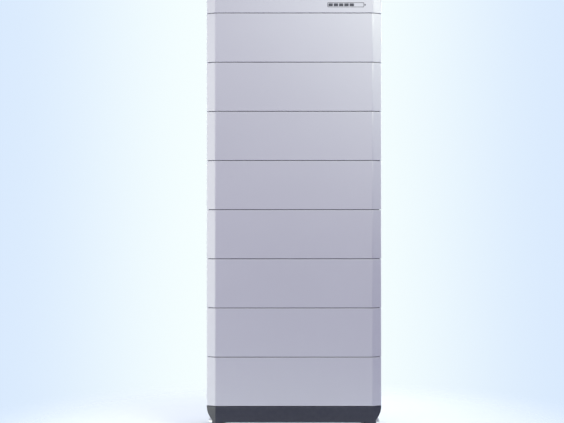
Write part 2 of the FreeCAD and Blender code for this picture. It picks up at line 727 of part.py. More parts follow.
def isolator_switch():
    """The rotary disconnector behind the knob well: a stack of four poles and its mounting plate."""
    front = KNOB_FLOOR - SHEET
    length = 74.0
    plate_sheet = 4.0
    pole_sheet = 16.0
    pole_pitch = 17.0
    first_pole = front - plate_sheet - pole_sheet / 2 - 0.5
    plate = block_at((front - plate_sheet / 2, KNOB_Y, KNOB_Z), (plate_sheet, 60, 60))
    poles = [block_at((first_pole - pole_pitch * i, KNOB_Y, KNOB_Z), (pole_sheet, 52, 52)) for i in range(4)]
    core = block_at((front - length / 2, KNOB_Y, KNOB_Z), (length, 40, 40))
    hole = rod(SHAFT_RADIUS + RUNNING_FIT, (front - 20, KNOB_Y, KNOB_Z), (front + 1, KNOB_Y, KNOB_Z))
    return plate.multiFuse(poles + [core]).cut(hole).removeSplitter()


def isolator_handle():
    """A round base and a bar to grip, on a shaft into the switch. The bar stands upright when on."""
    start = KNOB_FLOOR + 0.5
    base_top = start + 7.0
    base = rod(30.0, (start, KNOB_Y, KNOB_Z), (base_top, KNOB_Y, KNOB_Z))
    base = round_edges(base, 1.5, lambda b: b.XMin > base_top - 0.1)
    bar_depth = 20.0
    bar = block_at((start + 16, KNOB_Y, KNOB_Z), (bar_depth, 13, 64))
    bar = round_edges(bar, 3.0, lambda b: b.XMin > base_top and b.XLength < bar_depth - 1)
    shaft = rod(SHAFT_RADIUS, (KNOB_FLOOR - SHEET - 18, KNOB_Y, KNOB_Z), (start, KNOB_Y, KNOB_Z))
    return base.fuse(bar).fuse(shaft).removeSplitter()


def niche_rod(radius, y, z, start, end):
    """A round bar along X at a place in the niche. Distances count outwards from the niche's floor."""
    return rod(radius, (NICHE_FLOOR - start, y, z), (NICHE_FLOOR - end, y, z))


def niche_hexagon(across_flats, y, z, rise):
    """A hexagon that stands on the floor of the niche."""
    return hexagon(across_flats, (NICHE_FLOOR, y, z), (NICHE_FLOOR - rise, y, z))


def dc_outlets():
    """Two round panel sockets for the power leads, plus and minus."""
    flange_rise = 4.0
    barrel_rise = 24.0
    bore_floor = 6.0
    outlets = []
    for y in OUTLET_PLACES:
        body = niche_rod(15.0, y, OUTLET_Z, 0, flange_rise)
        body = body.fuse(niche_rod(11.0, y, OUTLET_Z, flange_rise, barrel_rise))
        body = body.fuse(niche_rod(OUTLET_SHANK, y, OUTLET_Z, 0, -20))
        outlets.append(body.cut(niche_rod(OUTLET_BORE, y, OUTLET_Z, barrel_rise + 1, bore_floor)))
    return outlets


def data_sockets():
    """Three round data sockets, each closed by a screwed cap."""
    nut_rise = 4.0
    cap_rise = 15.0
    sockets = []
    for y in DATA_PLACES:
        cap = niche_rod(8.0, y, SMALL_SOCKET_Z, nut_rise, cap_rise)
        cap = round_edges(cap, 1.0, lambda b: b.XMax < NICHE_FLOOR - cap_rise + 0.1)
        shank = niche_rod(DATA_SHANK, y, SMALL_SOCKET_Z, 0, -16)
        nut = niche_hexagon(19.0, y, SMALL_SOCKET_Z, nut_rise)
        sockets.append(nut.fuse(cap).fuse(shank).removeSplitter())
    return sockets


def earth_stud():
    """The protective earth: a threaded stud with a hexagon against the niche floor."""
    stud = niche_rod(EARTH_RADIUS, EARTH_Y, SMALL_SOCKET_Z, -8, 21)
    return niche_hexagon(10.0, EARTH_Y, SMALL_SOCKET_Z, 5.0).fuse(stud).removeSplitter()


def wall_slot(x):
    """A cutter for a slot with round ends, through the plate of the wall bracket."""
    reach = WALL_SLOT_LENGTH / 2 - WALL_SLOT_RADIUS
    slot = block_at((x, BACK, WALL_SLOT_Z), (2 * reach, 40, 2 * WALL_SLOT_RADIUS))
    for end in (x - reach, x + reach):
        slot = slot.fuse(rod(WALL_SLOT_RADIUS, (end, BACK - 20, WALL_SLOT_Z), (end, BACK + 20, WALL_SLOT_Z)))
    return slot


def wall_bracket():
    """The anti-tip bracket: a flat arm in the guide, and a plate with two slots for wall screws."""
    plate_front = ARM_WELL_FLOOR + 1
    half = 60.0
    plate = block((-half, half), (plate_front, plate_front + ARM_SHEET), (ARM_Z - 18, ARM_Z + 21))
    plate = round_edges(plate, 5.0, lambda b: b.YLength > 1)
    arm = block(
        (-ARM_WIDTH / 2, ARM_WIDTH / 2),
        (ARM_INNER_END, plate_front),
        (ARM_Z - ARM_SHEET / 2, ARM_Z + ARM_SHEET / 2),
    )
    bracket = plate.fuse(arm)
    for x in (-WALL_SLOT_X, WALL_SLOT_X):
        bracket = bracket.cut(wall_slot(x))
    return bracket.removeSplitter()


def contactor(x, y):
    """A sealed contactor on a foot, with a rib between the two screw terminals on its top."""
    foot_rise = 10.0
    can_top = CONTROL_FLOOR + 64
    foot = block_at((x, y, CONTROL_FLOOR + foot_rise / 2), (66, 66, foot_rise))
    can = rod(28.0, (x, y, CONTROL_FLOOR + foot_rise), (x, y, can_top))
    rib = block_at((x, y, can_top + 2), (4, 60, 8))
    body = foot.fuse(can).fuse(rib)
    for side in (-14.0, 14.0):
        body = body.fuse(rod(6.0, (x + side, y, can_top - 4), (x + side, y, can_top + 10)))
    return body.removeSplitter()


def contactors():
    """The two contactors, plus and minus."""
    return [contactor(20.0, 60.0), contactor(100.0, 60.0)]


def dc_fuse():
    """The main fuse on its holder: a ceramic barrel with end caps between two posts."""
    left = -10.0
    right = 90.0
    y = -50.0
    z = CONTROL_FLOOR + 50
    cap = 15.0
    barrel = rod(16.0, (left + cap, y, z), (right - cap, y, z))
    caps = [rod(18.0, (x, y, z), (x + cap, y, z)) for x in (left, right - cap)]
    post_size = (12, 24, z - CONTROL_FLOOR)
    post_z = (CONTROL_FLOOR + z) / 2
    posts = [block_at((x, y, post_z), post_size) for x in (left + cap / 2, right - cap / 2)]
    base = block_at(((left + right) / 2, y, CONTROL_FLOOR + 3), (right - left + 20, 36, 6))
    return barrel.multiFuse(caps + posts + [base]).removeSplitter()


def current_shunt():
    """A measuring shunt: two end blocks and the resistance strips between them, on a base."""
    x = -110.0
    y = -50.0
    base = block_at((x, y, CONTROL_FLOOR + 4), (120, 34, 8))
    ends = [block_at((x + side, y, CONTROL_FLOOR + 18), (32, 28, 20)) for side in (-42, 42)]
    strips = [block_at((x, y + side, CONTROL_FLOOR + 20), (60, 3, 14)) for side in (-8, 0, 8)]
    return base.multiFuse(ends + strips).removeSplitter()


def control_board():
    """The controller's circuit board on four spacers in front of the back wall, with its larger parts."""
    wall = CASE_BACK - SHEET
    back = wall - 12
    face = back - BOARD_SHEET

    def on_board(x, z, width, rise, height):
        return block_at((x, face - rise / 2, z), (width, rise, height))

    board = block((-150, 100), (face, back), (15, 110))
    spacers = [rod(SPACER_RADIUS, (x, back, z), (x, wall, z)) for x in (-143, 93) for z in (22, 103)]
    terminals = on_board(-120, 90, 30, 12, 22)
    processor = on_board(-60, 60, 26, 3, 26)
    transformer = on_board(0, 85, 40, 16, 24)
    relay = on_board(60, 50, 30, 10, 40)
    plug_strip = on_board(-110, 35, 50, 8, 14)
    return board.multiFuse(spacers + [terminals, processor, transformer, relay, plug_strip]).removeSplitter()


# ---------------------------------------------------------------- the whole tower

def write_base():
    write("plinth", [plinth()])
    write("base_plate", [base_plate()])
    write("foot_bosses", foot_bosses())
    write("base_jumper", top_fittings(BASE_HEIGHT))
    for number, (x, y) in enumerate(foot_places(), start=1):
        write(f"foot_pad_{number}", [foot_pad(x, y)])
        write(f"foot_stud_{number}", [foot_stud(x, y)])


def write_modules():
    case = module_case()
    cover = front_cover(MODULE_PITCH, barbed=True)
    pack = cell_pack()
    fittings = module_fittings()
    for number in range(1, MODULE_COUNT + 1):
        z = BASE_HEIGHT + (number - 1) * MODULE_PITCH
        write(f"module_{number}_case", moved([case], z))
        write(f"module_{number}_front_cover", moved([cover], z))
        write(f"module_{number}_cell_pack", moved(pack, z))
        write(f"module_{number}_connectors", moved(fittings, z))


def write_control_unit():
    nodes = {
        "control_unit_case": [control_case()],
        "control_unit_lid": [control_lid()],
        "control_unit_front_cover": [control_front_cover()],
        "control_unit_socket": [socket()],
        "power_button": [power_button()],
        "status_light": status_light(),
        "isolator_switch": [isolator_switch()],
        "isolator_handle": [isolator_handle()],
        "dc_outlets": dc_outlets(),
        "data_sockets": data_sockets(),
        "earth_stud": [earth_stud()],
        "wall_bracket": [wall_bracket()],
        "contactors": contactors(),
        "dc_fuse": [dc_fuse()],
        "current_shunt": [current_shunt()],
        "control_board": [control_board()],
    }
    for node, solids in nodes.items():
        write(node, moved(solids, CONTROL_DATUM))


os.makedirs("parts", exist_ok=True)
write_base()
write_modules()
write_control_unit()
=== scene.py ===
# %% [markdown]
# # A stacking battery tower
# Eight equal battery modules stand on a dark plinth, and a control unit closes the stack. The cases, the
# cells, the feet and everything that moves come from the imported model. This script gives them their
# finishes, and it adds what is too small or too soft-edged for the model: pressed covers, gaskets, screws,
# threads, grip liners and printed marks. Every length is in metres and every place comes from the frame.

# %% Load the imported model
import bmesh
import bpy
import json
import math
from mathutils import Matrix, Vector


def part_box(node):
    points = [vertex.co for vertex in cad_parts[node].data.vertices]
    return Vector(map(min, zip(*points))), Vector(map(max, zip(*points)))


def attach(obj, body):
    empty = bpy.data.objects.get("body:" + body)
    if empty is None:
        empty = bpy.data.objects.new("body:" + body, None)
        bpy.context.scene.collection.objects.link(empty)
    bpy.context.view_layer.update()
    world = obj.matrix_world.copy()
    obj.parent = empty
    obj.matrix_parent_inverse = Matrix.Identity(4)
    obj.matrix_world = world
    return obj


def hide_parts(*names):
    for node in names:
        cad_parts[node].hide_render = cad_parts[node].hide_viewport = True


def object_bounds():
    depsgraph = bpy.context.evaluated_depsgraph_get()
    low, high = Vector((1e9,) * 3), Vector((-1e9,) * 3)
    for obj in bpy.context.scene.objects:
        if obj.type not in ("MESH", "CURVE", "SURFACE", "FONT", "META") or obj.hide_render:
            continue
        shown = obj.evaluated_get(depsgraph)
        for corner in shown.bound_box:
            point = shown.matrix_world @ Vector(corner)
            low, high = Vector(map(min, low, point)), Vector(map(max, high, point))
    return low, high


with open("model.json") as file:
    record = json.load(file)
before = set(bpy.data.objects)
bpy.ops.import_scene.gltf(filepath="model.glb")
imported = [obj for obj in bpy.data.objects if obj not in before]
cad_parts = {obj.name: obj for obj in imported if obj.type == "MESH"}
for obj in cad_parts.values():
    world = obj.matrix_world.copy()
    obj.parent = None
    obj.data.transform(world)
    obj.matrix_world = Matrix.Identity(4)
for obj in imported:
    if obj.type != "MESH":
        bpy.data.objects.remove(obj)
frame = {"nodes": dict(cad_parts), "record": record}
cad_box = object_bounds()
MM = 0.001
print("the tower stands from", [round(v, 4) for v in cad_box[0]], "to", [round(v, 4) for v in cad_box[1]])

# %% [markdown]
# ## Where things are
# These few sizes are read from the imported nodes, so that a change in the model moves everything that is
# built on it. The bodies that carry another unit are listed with the height of their top.

# %% Measure the tower
MODULES = 8
FRONT = cad_box[0].y
RIGHT = cad_box[1].x
case_low, case_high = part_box("module_1_case")
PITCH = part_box("module_2_case")[0].z - case_low.z
SEAM = case_low.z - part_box("plinth")[1].z
BASE_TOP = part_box("plinth")[1].z
COVER_BACK = case_low.y - 1 * MM
CASE_RIGHT = case_high.x
CASE_BACK = case_high.y
UNITS = [f"module_{k}" for k in range(1, MODULES + 1)]
TOPS = {"base": BASE_TOP} | {unit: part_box(f"{unit}_case")[1].z for unit in UNITS}
CONTROL_Z = TOPS[UNITS[-1]]
print(f"pitch {PITCH:.4f}, seam {SEAM:.4f}, covers end at y {COVER_BACK:.4f}")

# %% [markdown]
# ## Camera
# The picture is taken level and square to the front, from about four metres, so the tower's edges stay
# upright. The lens follows from how much of the front plane should fill the picture's width.

# %% Place the camera
CAMERA_DISTANCE = 4.2
VIEW_WIDTH = 1.8925
VIEW_CENTRE = Vector((-0.0405, FRONT, 0.7499))
camera_data = bpy.data.cameras.new("camera")
camera_data.lens = camera_data.sensor_width * CAMERA_DISTANCE / VIEW_WIDTH
camera_data.clip_end = 100
camera = bpy.data.objects.new("camera", camera_data)
camera.location = VIEW_CENTRE - Vector((0, CAMERA_DISTANCE, 0))
camera.rotation_euler = (math.radians(90), 0, 0)
bpy.context.scene.collection.objects.link(camera)
bpy.context.scene.camera = camera
bpy.context.scene.view_settings.view_transform = "Standard"
print(f"lens {camera_data.lens:.1f} mm")

# %% [markdown]
# ## Finishes written as sums
# A finish is a small graph of nodes, which is hard to read when every node and link has its own line. So a
# Wire stands for one output, and Python's own signs add the Math nodes: `0.4 + 0.05 * grain`. Every other
# node comes from the single method Finish.node, which takes its type, its settings and its inputs.

# %% Wires
class Wire:
    """One output of a node. A sign between wires and numbers adds a Math node."""

    def __init__(self, finish, socket):
        self.finish = finish
        self.socket = socket

    def maths(self, operation, first, second=0.0):
        return self.finish.node("Math", {"operation": operation}, {0: first, 1: second})

    def __add__(self, other):
        return self.maths("ADD", self, other)

    __radd__ = __add__

    def __sub__(self, other):
        return self.maths("SUBTRACT", self, other)

    def __rsub__(self, other):
        return self.maths("SUBTRACT", other, self)

    def __mul__(self, other):
        return self.maths("MULTIPLY", self, other)

    __rmul__ = __mul__

    def __mod__(self, other):
        return self.maths("FLOORED_MODULO", self, other)

    def __abs__(self):
        return self.maths("ABSOLUTE", self)

    def ease(self, start, end):
        """0 before start and 1 after end, with a smooth step between them."""
        span = {"Value": self, "From Min": start, "From Max": end}
        return self.finish.node("MapRange", {"interpolation_type": "SMOOTHSTEP"}, span)


# %% Finishes
class Finish:
    """A material whose Principled shader is fed by wires."""

    def __init__(self, name, **constants):
        self.material = bpy.data.materials.new(name)
        self.material.use_nodes = True
        self.tree = self.material.node_tree
        self.shader = self.tree.nodes["Principled BSDF"]
        for socket, value in constants.items():
            self.shader.inputs[socket.replace("_", " ")].default_value = value

    def node(self, kind, settings, sockets, output=0):
        made = self.tree.nodes.new("ShaderNode" + kind)
        for name, value in settings.items():
            setattr(made, name, value)
        for key, value in sockets.items():
            if isinstance(value, Wire):
                self.tree.links.new(value.socket, made.inputs[key])
            else:
                made.inputs[key].default_value = value
        return Wire(self, made.outputs[output])

    def feed(self, socket, wire):
        self.tree.links.new(wire.socket, self.shader.inputs[socket])

    def place(self):
        """The point on the piece in metres. It moves and turns with the piece."""
        return self.node("TexCoord", {}, {}, "Object")

    def along(self, axis):
        return self.node("SeparateXYZ", {}, {0: self.place()}, axis)

    def noise(self, scale, detail=2.0, stretch=(1, 1, 1)):
        where = self.node("Mapping", {}, {"Vector": self.place(), "Scale": stretch})
        return self.node("TexNoise", {}, {"Vector": where, "Scale": scale, "Detail": detail})

    def grains(self, scale):
        """A random grey for each crystal of a broken-up surface."""
        colour = self.node("TexVoronoi", {}, {"Vector": self.place(), "Scale": scale}, "Color")
        return self.node("SeparateXYZ", {}, {0: colour}, "X")

    def mix(self, factor, first, second):
        return self.node("Mix", {"data_type": "RGBA"}, {0: factor, 6: first, 7: second}, 2)

    def shade(self, colour, spread, factor):
        """A colour that goes from a share darker to a share lighter as the factor goes from 0 to 1."""
        dark, light = ((*[c * (1 + s) for c in colour], 1) for s in (-spread, spread))
        return self.mix(factor, dark, light)

    def bump(self, height, depth):
        self.feed("Normal", self.node("Bump", {}, {"Height": height, "Distance": depth}))


print("a finish is fed by wires")

# %% [markdown]
# ## Powder coat
# The covers, cases and plinth are baked powder paint. Close up it has a fine orange peel. From farther off it
# is even, with a very faint cloudiness, slightly uneven gloss, and a little dust that settles low down and
# just under each joint. Noise at three sizes gives all of that, and the dust comes from the height.

# %% Mix the paints
def powder_coat(name, colour, roughness, dust=0.10):
    made = Finish(name)
    height = made.along("Z")
    below_joint = (BASE_TOP - height) % PITCH
    ledge = 1 - below_joint.ease(0.0, 12 * MM)
    low = 1 - height.ease(0.0, 0.5)
    cloud = made.noise(2.5, 3.0)
    settled = dust * made.noise(60.0, 5.0) * (0.5 * ledge + low)
    painted = made.shade(colour, 0.03, cloud)
    made.feed("Base Color", made.mix(settled, painted, (0.62, 0.61, 0.60, 1)))
    made.feed("Roughness", roughness - 0.04 + 0.08 * made.noise(7.0, 4.0) + settled)
    made.bump(made.noise(650.0, 3.0), 0.03 * MM)
    return made.material


cover_paint = powder_coat("cover_paint", (0.50, 0.505, 0.60), 0.40)
case_paint = powder_coat("case_paint", (0.47, 0.475, 0.545), 0.46)
plinth_paint = powder_coat("plinth_paint", (0.021, 0.024, 0.044), 0.42, dust=0.04)
print("paints", cover_paint.name, case_paint.name, plinth_paint.name)

# %% [markdown]
# ## Metals
# Zinc that is dipped freezes into crystals, which show as a spangle of flat greys: a Voronoi texture gives
# each crystal its own grey and gloss. Plated screws, brass contacts and copper bars are drawn or turned, so
# they carry fine lines along one direction and a few dull patches instead.

# %% Pour the metals
def spangled(name, colour):
    made = Finish(name, Metallic=1.0)
    crystal = made.grains(140.0)
    made.feed("Base Color", made.shade(colour, 0.14, crystal))
    made.feed("Roughness", 0.34 + 0.22 * crystal + 0.1 * made.noise(20.0, 3.0))
    made.bump(made.noise(300.0), 0.02 * MM)
    return made.material


def drawn_metal(name, colour, roughness, stretch=(1, 1, 30)):
    made = Finish(name, Metallic=1.0)
    lines = made.noise(120.0, 4.0, stretch)
    dull = made.noise(90.0, 3.0).ease(0.45, 0.75)
    made.feed("Base Color", made.shade(colour, 0.10, lines))
    made.feed("Roughness", roughness + 0.12 * lines + 0.12 * dull)
    made.bump(lines, 0.01 * MM)
    return made.material


galvanised_steel = spangled("galvanised_steel", (0.60, 0.61, 0.63))
zinc_steel = drawn_metal("zinc_steel", (0.66, 0.67, 0.69), 0.26)
brass = drawn_metal("brass", (0.78, 0.58, 0.27), 0.22)
copper_bar = drawn_metal("copper_bar", (0.80, 0.42, 0.27), 0.30, (30, 1, 1))
print("metals", galvanised_steel.name, zinc_steel.name, brass.name, copper_bar.name)

# %% [markdown]
# ## Plastics, rubber and foam
# Moulded plastic takes the fine spark texture of its steel mould, and hands polish what they touch. Rubber
# is rougher and picks up dust. Foam is made of open pores. One function makes the whole family, from the
# size and depth of its grain.

# %% Mould the plastics
def moulded(name, colour, roughness, grain, depth, spread=0.06, **constants):
    made = Finish(name, **constants)
    texture = made.noise(grain, 3.0)
    handled = made.noise(25.0, 3.0).ease(0.4, 0.7)
    made.feed("Base Color", made.shade(colour, spread, texture))
    made.feed("Roughness", roughness + 0.10 * texture - 0.06 * handled)
    made.bump(texture, depth)
    return made.material


black_plastic = moulded("black_plastic", (0.022, 0.022, 0.025), 0.42, 1400, 0.04 * MM)
foot_rubber = moulded("foot_rubber", (0.018, 0.018, 0.019), 0.70, 500, 0.10 * MM, 0.25)
joint_foam = moulded("joint_foam", (0.030, 0.030, 0.034), 0.90, 900, 0.30 * MM, 0.35)
button_plastic = moulded("button_plastic", (0.10, 0.105, 0.12), 0.38, 1400, 0.03 * MM)
handle_plastic = moulded("handle_plastic", (0.55, 0.03, 0.02), 0.38, 1200, 0.04 * MM)
mark_ink = moulded("mark_ink", (0.045, 0.048, 0.070), 0.45, 2000, 0.005 * MM)
pale_ink = moulded("pale_ink", (0.80, 0.81, 0.83), 0.45, 2000, 0.005 * MM, 0.03)
red_ring = moulded("red_ring", (0.50, 0.02, 0.02), 0.35, 1400, 0.03 * MM)
film_blue = moulded("cell_film", (0.02, 0.10, 0.30), 0.30, 160, 0.05 * MM, 0.12)
ceramic = moulded("ceramic", (0.80, 0.79, 0.75), 0.22, 90, 0.02 * MM, 0.03)
print("plastics", black_plastic.name, foot_rubber.name, joint_foam.name)

# %% Light the guide
# The strip shines evenly, apart from a soft fall towards its two ends, where its lamps are farther away.
guide_low, guide_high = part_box("status_light")
guide_middle = (guide_low.x + guide_high.x) / 2


def glowing(name, colour, strength):
    made = Finish(name, Roughness=0.3, Emission_Strength=strength)
    off_centre = abs(made.along("X") - guide_middle)
    made.feed("Base Color", made.shade((0.30, 0.48, 0.43), 0.04, made.noise(300.0)))
    fall = off_centre.ease(0.018, 0.031)
    made.feed("Emission Color", made.mix(fall, (*colour, 1), (*[0.45 * c for c in colour], 1)))
    return made.material


lit_guide = glowing("lit_guide", (0.16, 0.80, 0.55), 0.75)
print("the light strip is lit over", round(1000 * (guide_high.x - guide_low.x)), "mm")

# %% [markdown]
# ## Circuit boards
# Green solder mask lies over copper tracks, which show as slightly lighter lines. A wave texture bent by
# noise gives lines that wander like routed tracks.

# %% Print the boards
def solder_mask():
    made = Finish("circuit_board", Roughness=0.3)
    where = made.node("Mapping", {}, {"Vector": made.place(), "Rotation": (0.3, 0.2, 0.8)})
    bands = {"bands_direction": "DIAGONAL"}
    tracks = made.node("TexWave", bands, {"Vector": where, "Scale": 60, "Distortion": 9.0}, "Fac")
    shown = tracks.ease(0.55, 0.7)
    made.feed("Base Color", made.mix(shown, (0.008, 0.075, 0.03, 1), (0.02, 0.17, 0.06, 1)))
    made.bump(shown, 0.03 * MM)
    return made.material


circuit_board = solder_mask()
print("boards", circuit_board.name)

# %% [markdown]
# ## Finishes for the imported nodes
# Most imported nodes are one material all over. A few hold several solids, such as a cell pack, so each of
# their faces is sorted by where it lies: a busbar is simply whatever lies above the cells.

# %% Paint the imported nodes
PLAIN = {
    "plinth": plinth_paint, "base_plate": galvanised_steel, "foot_bosses": zinc_steel,
    "control_unit_case": case_paint, "control_unit_lid": cover_paint, "control_unit_socket": black_plastic,
    "isolator_switch": black_plastic, "isolator_handle": handle_plastic, "dc_outlets": black_plastic,
    "data_sockets": black_plastic, "earth_stud": zinc_steel, "wall_bracket": galvanised_steel,
    "contactors": black_plastic, "current_shunt": brass, "power_button": button_plastic,
}


def sort_faces(node, finishes, kind):
    """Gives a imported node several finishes, with kind(centre) as the number of a face's finish."""
    mesh = frame["nodes"][node].data
    mesh.materials.clear()
    for finish in finishes:
        mesh.materials.append(finish)
    for face in mesh.polygons:
        face.material_index = kind(face.center)


for name, node in frame["nodes"].items():
    fallback = case_paint if name.endswith("_case") else cover_paint
    sort_faces(name, [PLAIN.get(name, fallback)], lambda centre: 0)
print("plain nodes", len(frame["nodes"]))

# %% Sort the nodes that hold several solids
CELL_TOP = 134 * MM
POST_TOP = 137 * MM
CELL_MIDDLE = 18.5 * MM
CELL_REACH = 122.05 * MM
END_PLATE = 146.9 * MM
BOARD_SIDE = 158.6 * MM
FUSE_SIDE = 190 * MM


def pack_kinds(pack):
    """How to tell film, posts, bars, clamp steel and boards apart in one cell pack."""
    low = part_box(pack)[0]
    floor = low.z - 10 * MM

    def kind(centre):
        height = centre.z - floor
        if height > POST_TOP - 0.1 * MM:
            return 2
        if height > CELL_TOP + 0.1 * MM:
            return 1
        if centre.x > FUSE_SIDE:
            return 5
        if centre.x > BOARD_SIDE:
            return 4
        end_plate = centre.x < low.x + 11.6 * MM or centre.x > END_PLATE
        return 3 if end_plate or abs(centre.y - CELL_MIDDLE) > CELL_REACH else 0

    return kind


PACK_FINISHES = [film_blue, zinc_steel, copper_bar, galvanised_steel, circuit_board, ceramic]
FITTING_FINISHES = [black_plastic, zinc_steel]
for unit in UNITS:
    sort_faces(f"{unit}_cell_pack", PACK_FINISHES, pack_kinds(f"{unit}_cell_pack"))


def pin_or_plug(centre):
    """Locating pins stand near the sides, seat pads and plugs are plastic."""
    left_pin = (Vector(centre[:2]) - Vector((-0.272, 0.105))).length < 7 * MM
    right_pin = (Vector(centre[:2]) - Vector((0.250, -0.084))).length < 7 * MM
    return 1 if left_pin or right_pin else 0


for name in ["base_jumper"] + [f"{unit}_connectors" for unit in UNITS]:
    sort_faces(name, FITTING_FINISHES, pin_or_plug)

board_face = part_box("control_board")[1].y - 13.6 * MM
sort_faces(
    "control_board", [circuit_board, black_plastic],
    lambda centre: 1 if centre.y < board_face - 0.2 * MM else 0,
)
guide_back = guide_high.y - 3.1 * MM
sort_faces("status_light", [lit_guide, circuit_board], lambda centre: 1 if centre.y > guide_back else 0)
fuse_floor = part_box("dc_fuse")[0].z
sort_faces(
    "dc_fuse", [ceramic, brass, black_plastic],
    lambda centre: 2 if centre.z < fuse_floor + 6.1 * MM else 1 if abs(centre.x - 40 * MM) > 34.9 * MM else 0,
)
print("sorted the cell packs, connectors, boards, light and fuse")

# %% [markdown]
# ## Tools for shaping
# Every new piece starts as a few points or a simple shape, which operators then extrude, spin, bevel and
# cut. Big flat faces stay flat-shaded and only the small faces of a bevel are shaded smooth, so that a
# sheet looks flat right up to its softened edge.

# %% Shaping tools
EVEN = {"use_boundary": True, "use_even_offset": True}


def moved(shape, made, along):
    points = [part for part in made["geom"] if isinstance(part, bmesh.types.BMVert)]
    bmesh.ops.translate(shape, vec=along, verts=points)
    return points


def pulled(shape, faces, along):
    """Extrudes some faces along a vector and gives back the points that moved."""
    return moved(shape, bmesh.ops.extrude_face_region(shape, geom=faces), along)


def pulled_rim(shape, edges, along):
    """The same for some edges, which leave a wall behind them."""
    return moved(shape, bmesh.ops.extrude_edge_only(shape, edges=edges), along)


def outward(shape):
    bmesh.ops.recalc_face_normals(shape, faces=shape.faces)
    return shape


def extruded(points, along):
    """A closed outline of points, pulled along a vector into a solid."""
    shape = bmesh.new()
    floor = shape.faces.new([shape.verts.new(point) for point in points])
    pulled(shape, [floor], along)
    return outward(shape)


def slab(low, high):
    """A rectangular solid between two corners."""
    (x0, y0, z0), (x1, y1, z1) = low, high
    return extruded([(x0, y0, z0), (x1, y0, z0), (x1, y1, z0), (x0, y1, z0)], (0, 0, z1 - z0))


def rounded(shape, edges, radius, segments=3):
    """Bevels some edges and shades only the new curved faces smooth."""
    made = bmesh.ops.bevel(
        shape, geom=edges, offset=radius, segments=segments, profile=0.5, affect="EDGES", material=-1
    )
    for face in made["faces"]:
        face.smooth = True
    return shape


def crisp(shape, limit=40):
    """Shades everything smooth but keeps the edges that turn by more than some degrees."""
    for face in shape.faces:
        face.smooth = True
    for edge in shape.edges:
        edge.smooth = edge.calc_face_angle(math.pi) < math.radians(limit)
    return shape


def turned(profile, steps=48):
    """Spins an outline of (radius, height) points, in millimetres, about Z, as on a lathe."""
    shape = bmesh.new()
    points = [shape.verts.new((radius * MM, 0, height * MM)) for radius, height in profile]
    line = [shape.edges.new(pair) for pair in zip(points, points[1:])]
    full = {"cent": (0, 0, 0), "axis": (0, 0, 1), "angle": math.tau, "steps": steps, "use_merge": True}
    bmesh.ops.spin(shape, geom=points + line, **full)
    bmesh.ops.remove_doubles(shape, verts=shape.verts, dist=0.002 * MM)
    return crisp(outward(shape))


def facing(place, way):
    """The placement that stands a piece at a place with its Z axis pointing some way."""
    return Matrix.Translation(place) @ Vector(way).to_track_quat("Z", "Y").to_matrix().to_4x4()


def gather(shapes_and_placements):
    """Joins copies of shapes, each at its own placement, into one shape."""
    whole = bmesh.new()
    for shape, placement in shapes_and_placements:
        stamp = bpy.data.meshes.new("stamp")
        shape.to_mesh(stamp)
        stamp.transform(placement)
        whole.from_mesh(stamp)
        bpy.data.meshes.remove(stamp)
    return whole


def join(*shapes):
    return gather([(shape, Matrix.Identity(4)) for shape in shapes])


def ring_of(shape, count, radius=0.0):
    """Copies of a shape, evenly spaced round Z."""
    turns = [Matrix.Rotation(i * math.tau / count, 4, "Z") for i in range(count)]
    return gather([(shape, turn @ Matrix.Translation((radius, 0, 0))) for turn in turns])


def make_piece(name, shape, body, finish, place=Matrix.Identity(4)):
    """Turns a shape, at its place, into an object that rides on a body of the tower."""
    mesh = bpy.data.meshes.new(name)
    shape.to_mesh(mesh)
    mesh.transform(place)
    mesh.materials.append(finish)
    piece = bpy.data.objects.new(name, mesh)
    bpy.context.scene.collection.objects.link(piece)
    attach(piece, body)
    return piece


print("shaping tools are ready")

# %% [markdown]
# ## Front covers
# Each unit is closed by a cover that is pressed from one sheet: a shallow tray, open at the back, with
# chamfered corners. Its upright edges are bent to a radius of 3 mm and its rims to little more than 1 mm,
# which catches the light along every joint. The tray is an extruded plan outline whose rear face is taken
# off and whose walls are then given their thickness. Only after that are the outer edges rounded.

# %% Measures of a cover
SHEET = 2 * MM
CHAMFER_WIDTH = 30 * MM
CHAMFER_DEPTH = 16 * MM
CORNER_RADIUS = 3 * MM
RIM_RADIUS = 1.2 * MM


def cover_corners(front):
    """Plan outline of a cover, from its rear right corner round the front to its rear left corner."""
    half = [(RIGHT, COVER_BACK), (RIGHT, FRONT + CHAMFER_DEPTH), (RIGHT - CHAMFER_WIDTH, front)]
    return half + [(-x, y) for x, y in reversed(half)]


def upright(edge):
    a, b = (v.co for v in edge.verts)
    return abs(a.z - b.z) > 20 * MM and (a - b).xy.length < 0.01 * MM


def pressed_tray(front, bottom, top, pierce=None):
    """A cover's sheet with rounded outer edges. pierce may cut windows in the thin skin first."""
    shape = extruded([(x, y, bottom) for x, y in cover_corners(front)], (0, 0, top - bottom))
    rear = [f for f in shape.faces if f.normal.y > 0.9]
    bmesh.ops.delete(shape, geom=rear, context="FACES")
    if pierce:
        pierce(shape)
    skin = list(shape.faces)
    bmesh.ops.solidify(shape, geom=skin, thickness=SHEET)
    outward(shape)
    corners = [Vector(c) for c in cover_corners(front)[1:-1]]
    at_corner = [
        e for e in shape.edges
        if upright(e) and min((e.verts[0].co.xy - c).length for c in corners) < 0.1 * MM
    ]
    rounded(shape, at_corner, CORNER_RADIUS, 5)
    rims = [
        e for e in shape.edges
        if all(min(v.co.z - bottom, top - v.co.z) < 0.01 * MM for v in e.verts)
        and e.verts[0].co.y + e.verts[1].co.y < 2 * COVER_BACK - 0.1 * MM
        and len({round(f.normal.z) for f in e.link_faces}) == 2
    ]
    return rounded(shape, rims, RIM_RADIUS, 3)


# %% [markdown]
# Four tongues folded out of the tray's top and bottom walls hold the cover in the case. They are hidden
# until the control unit's cover is pulled off.

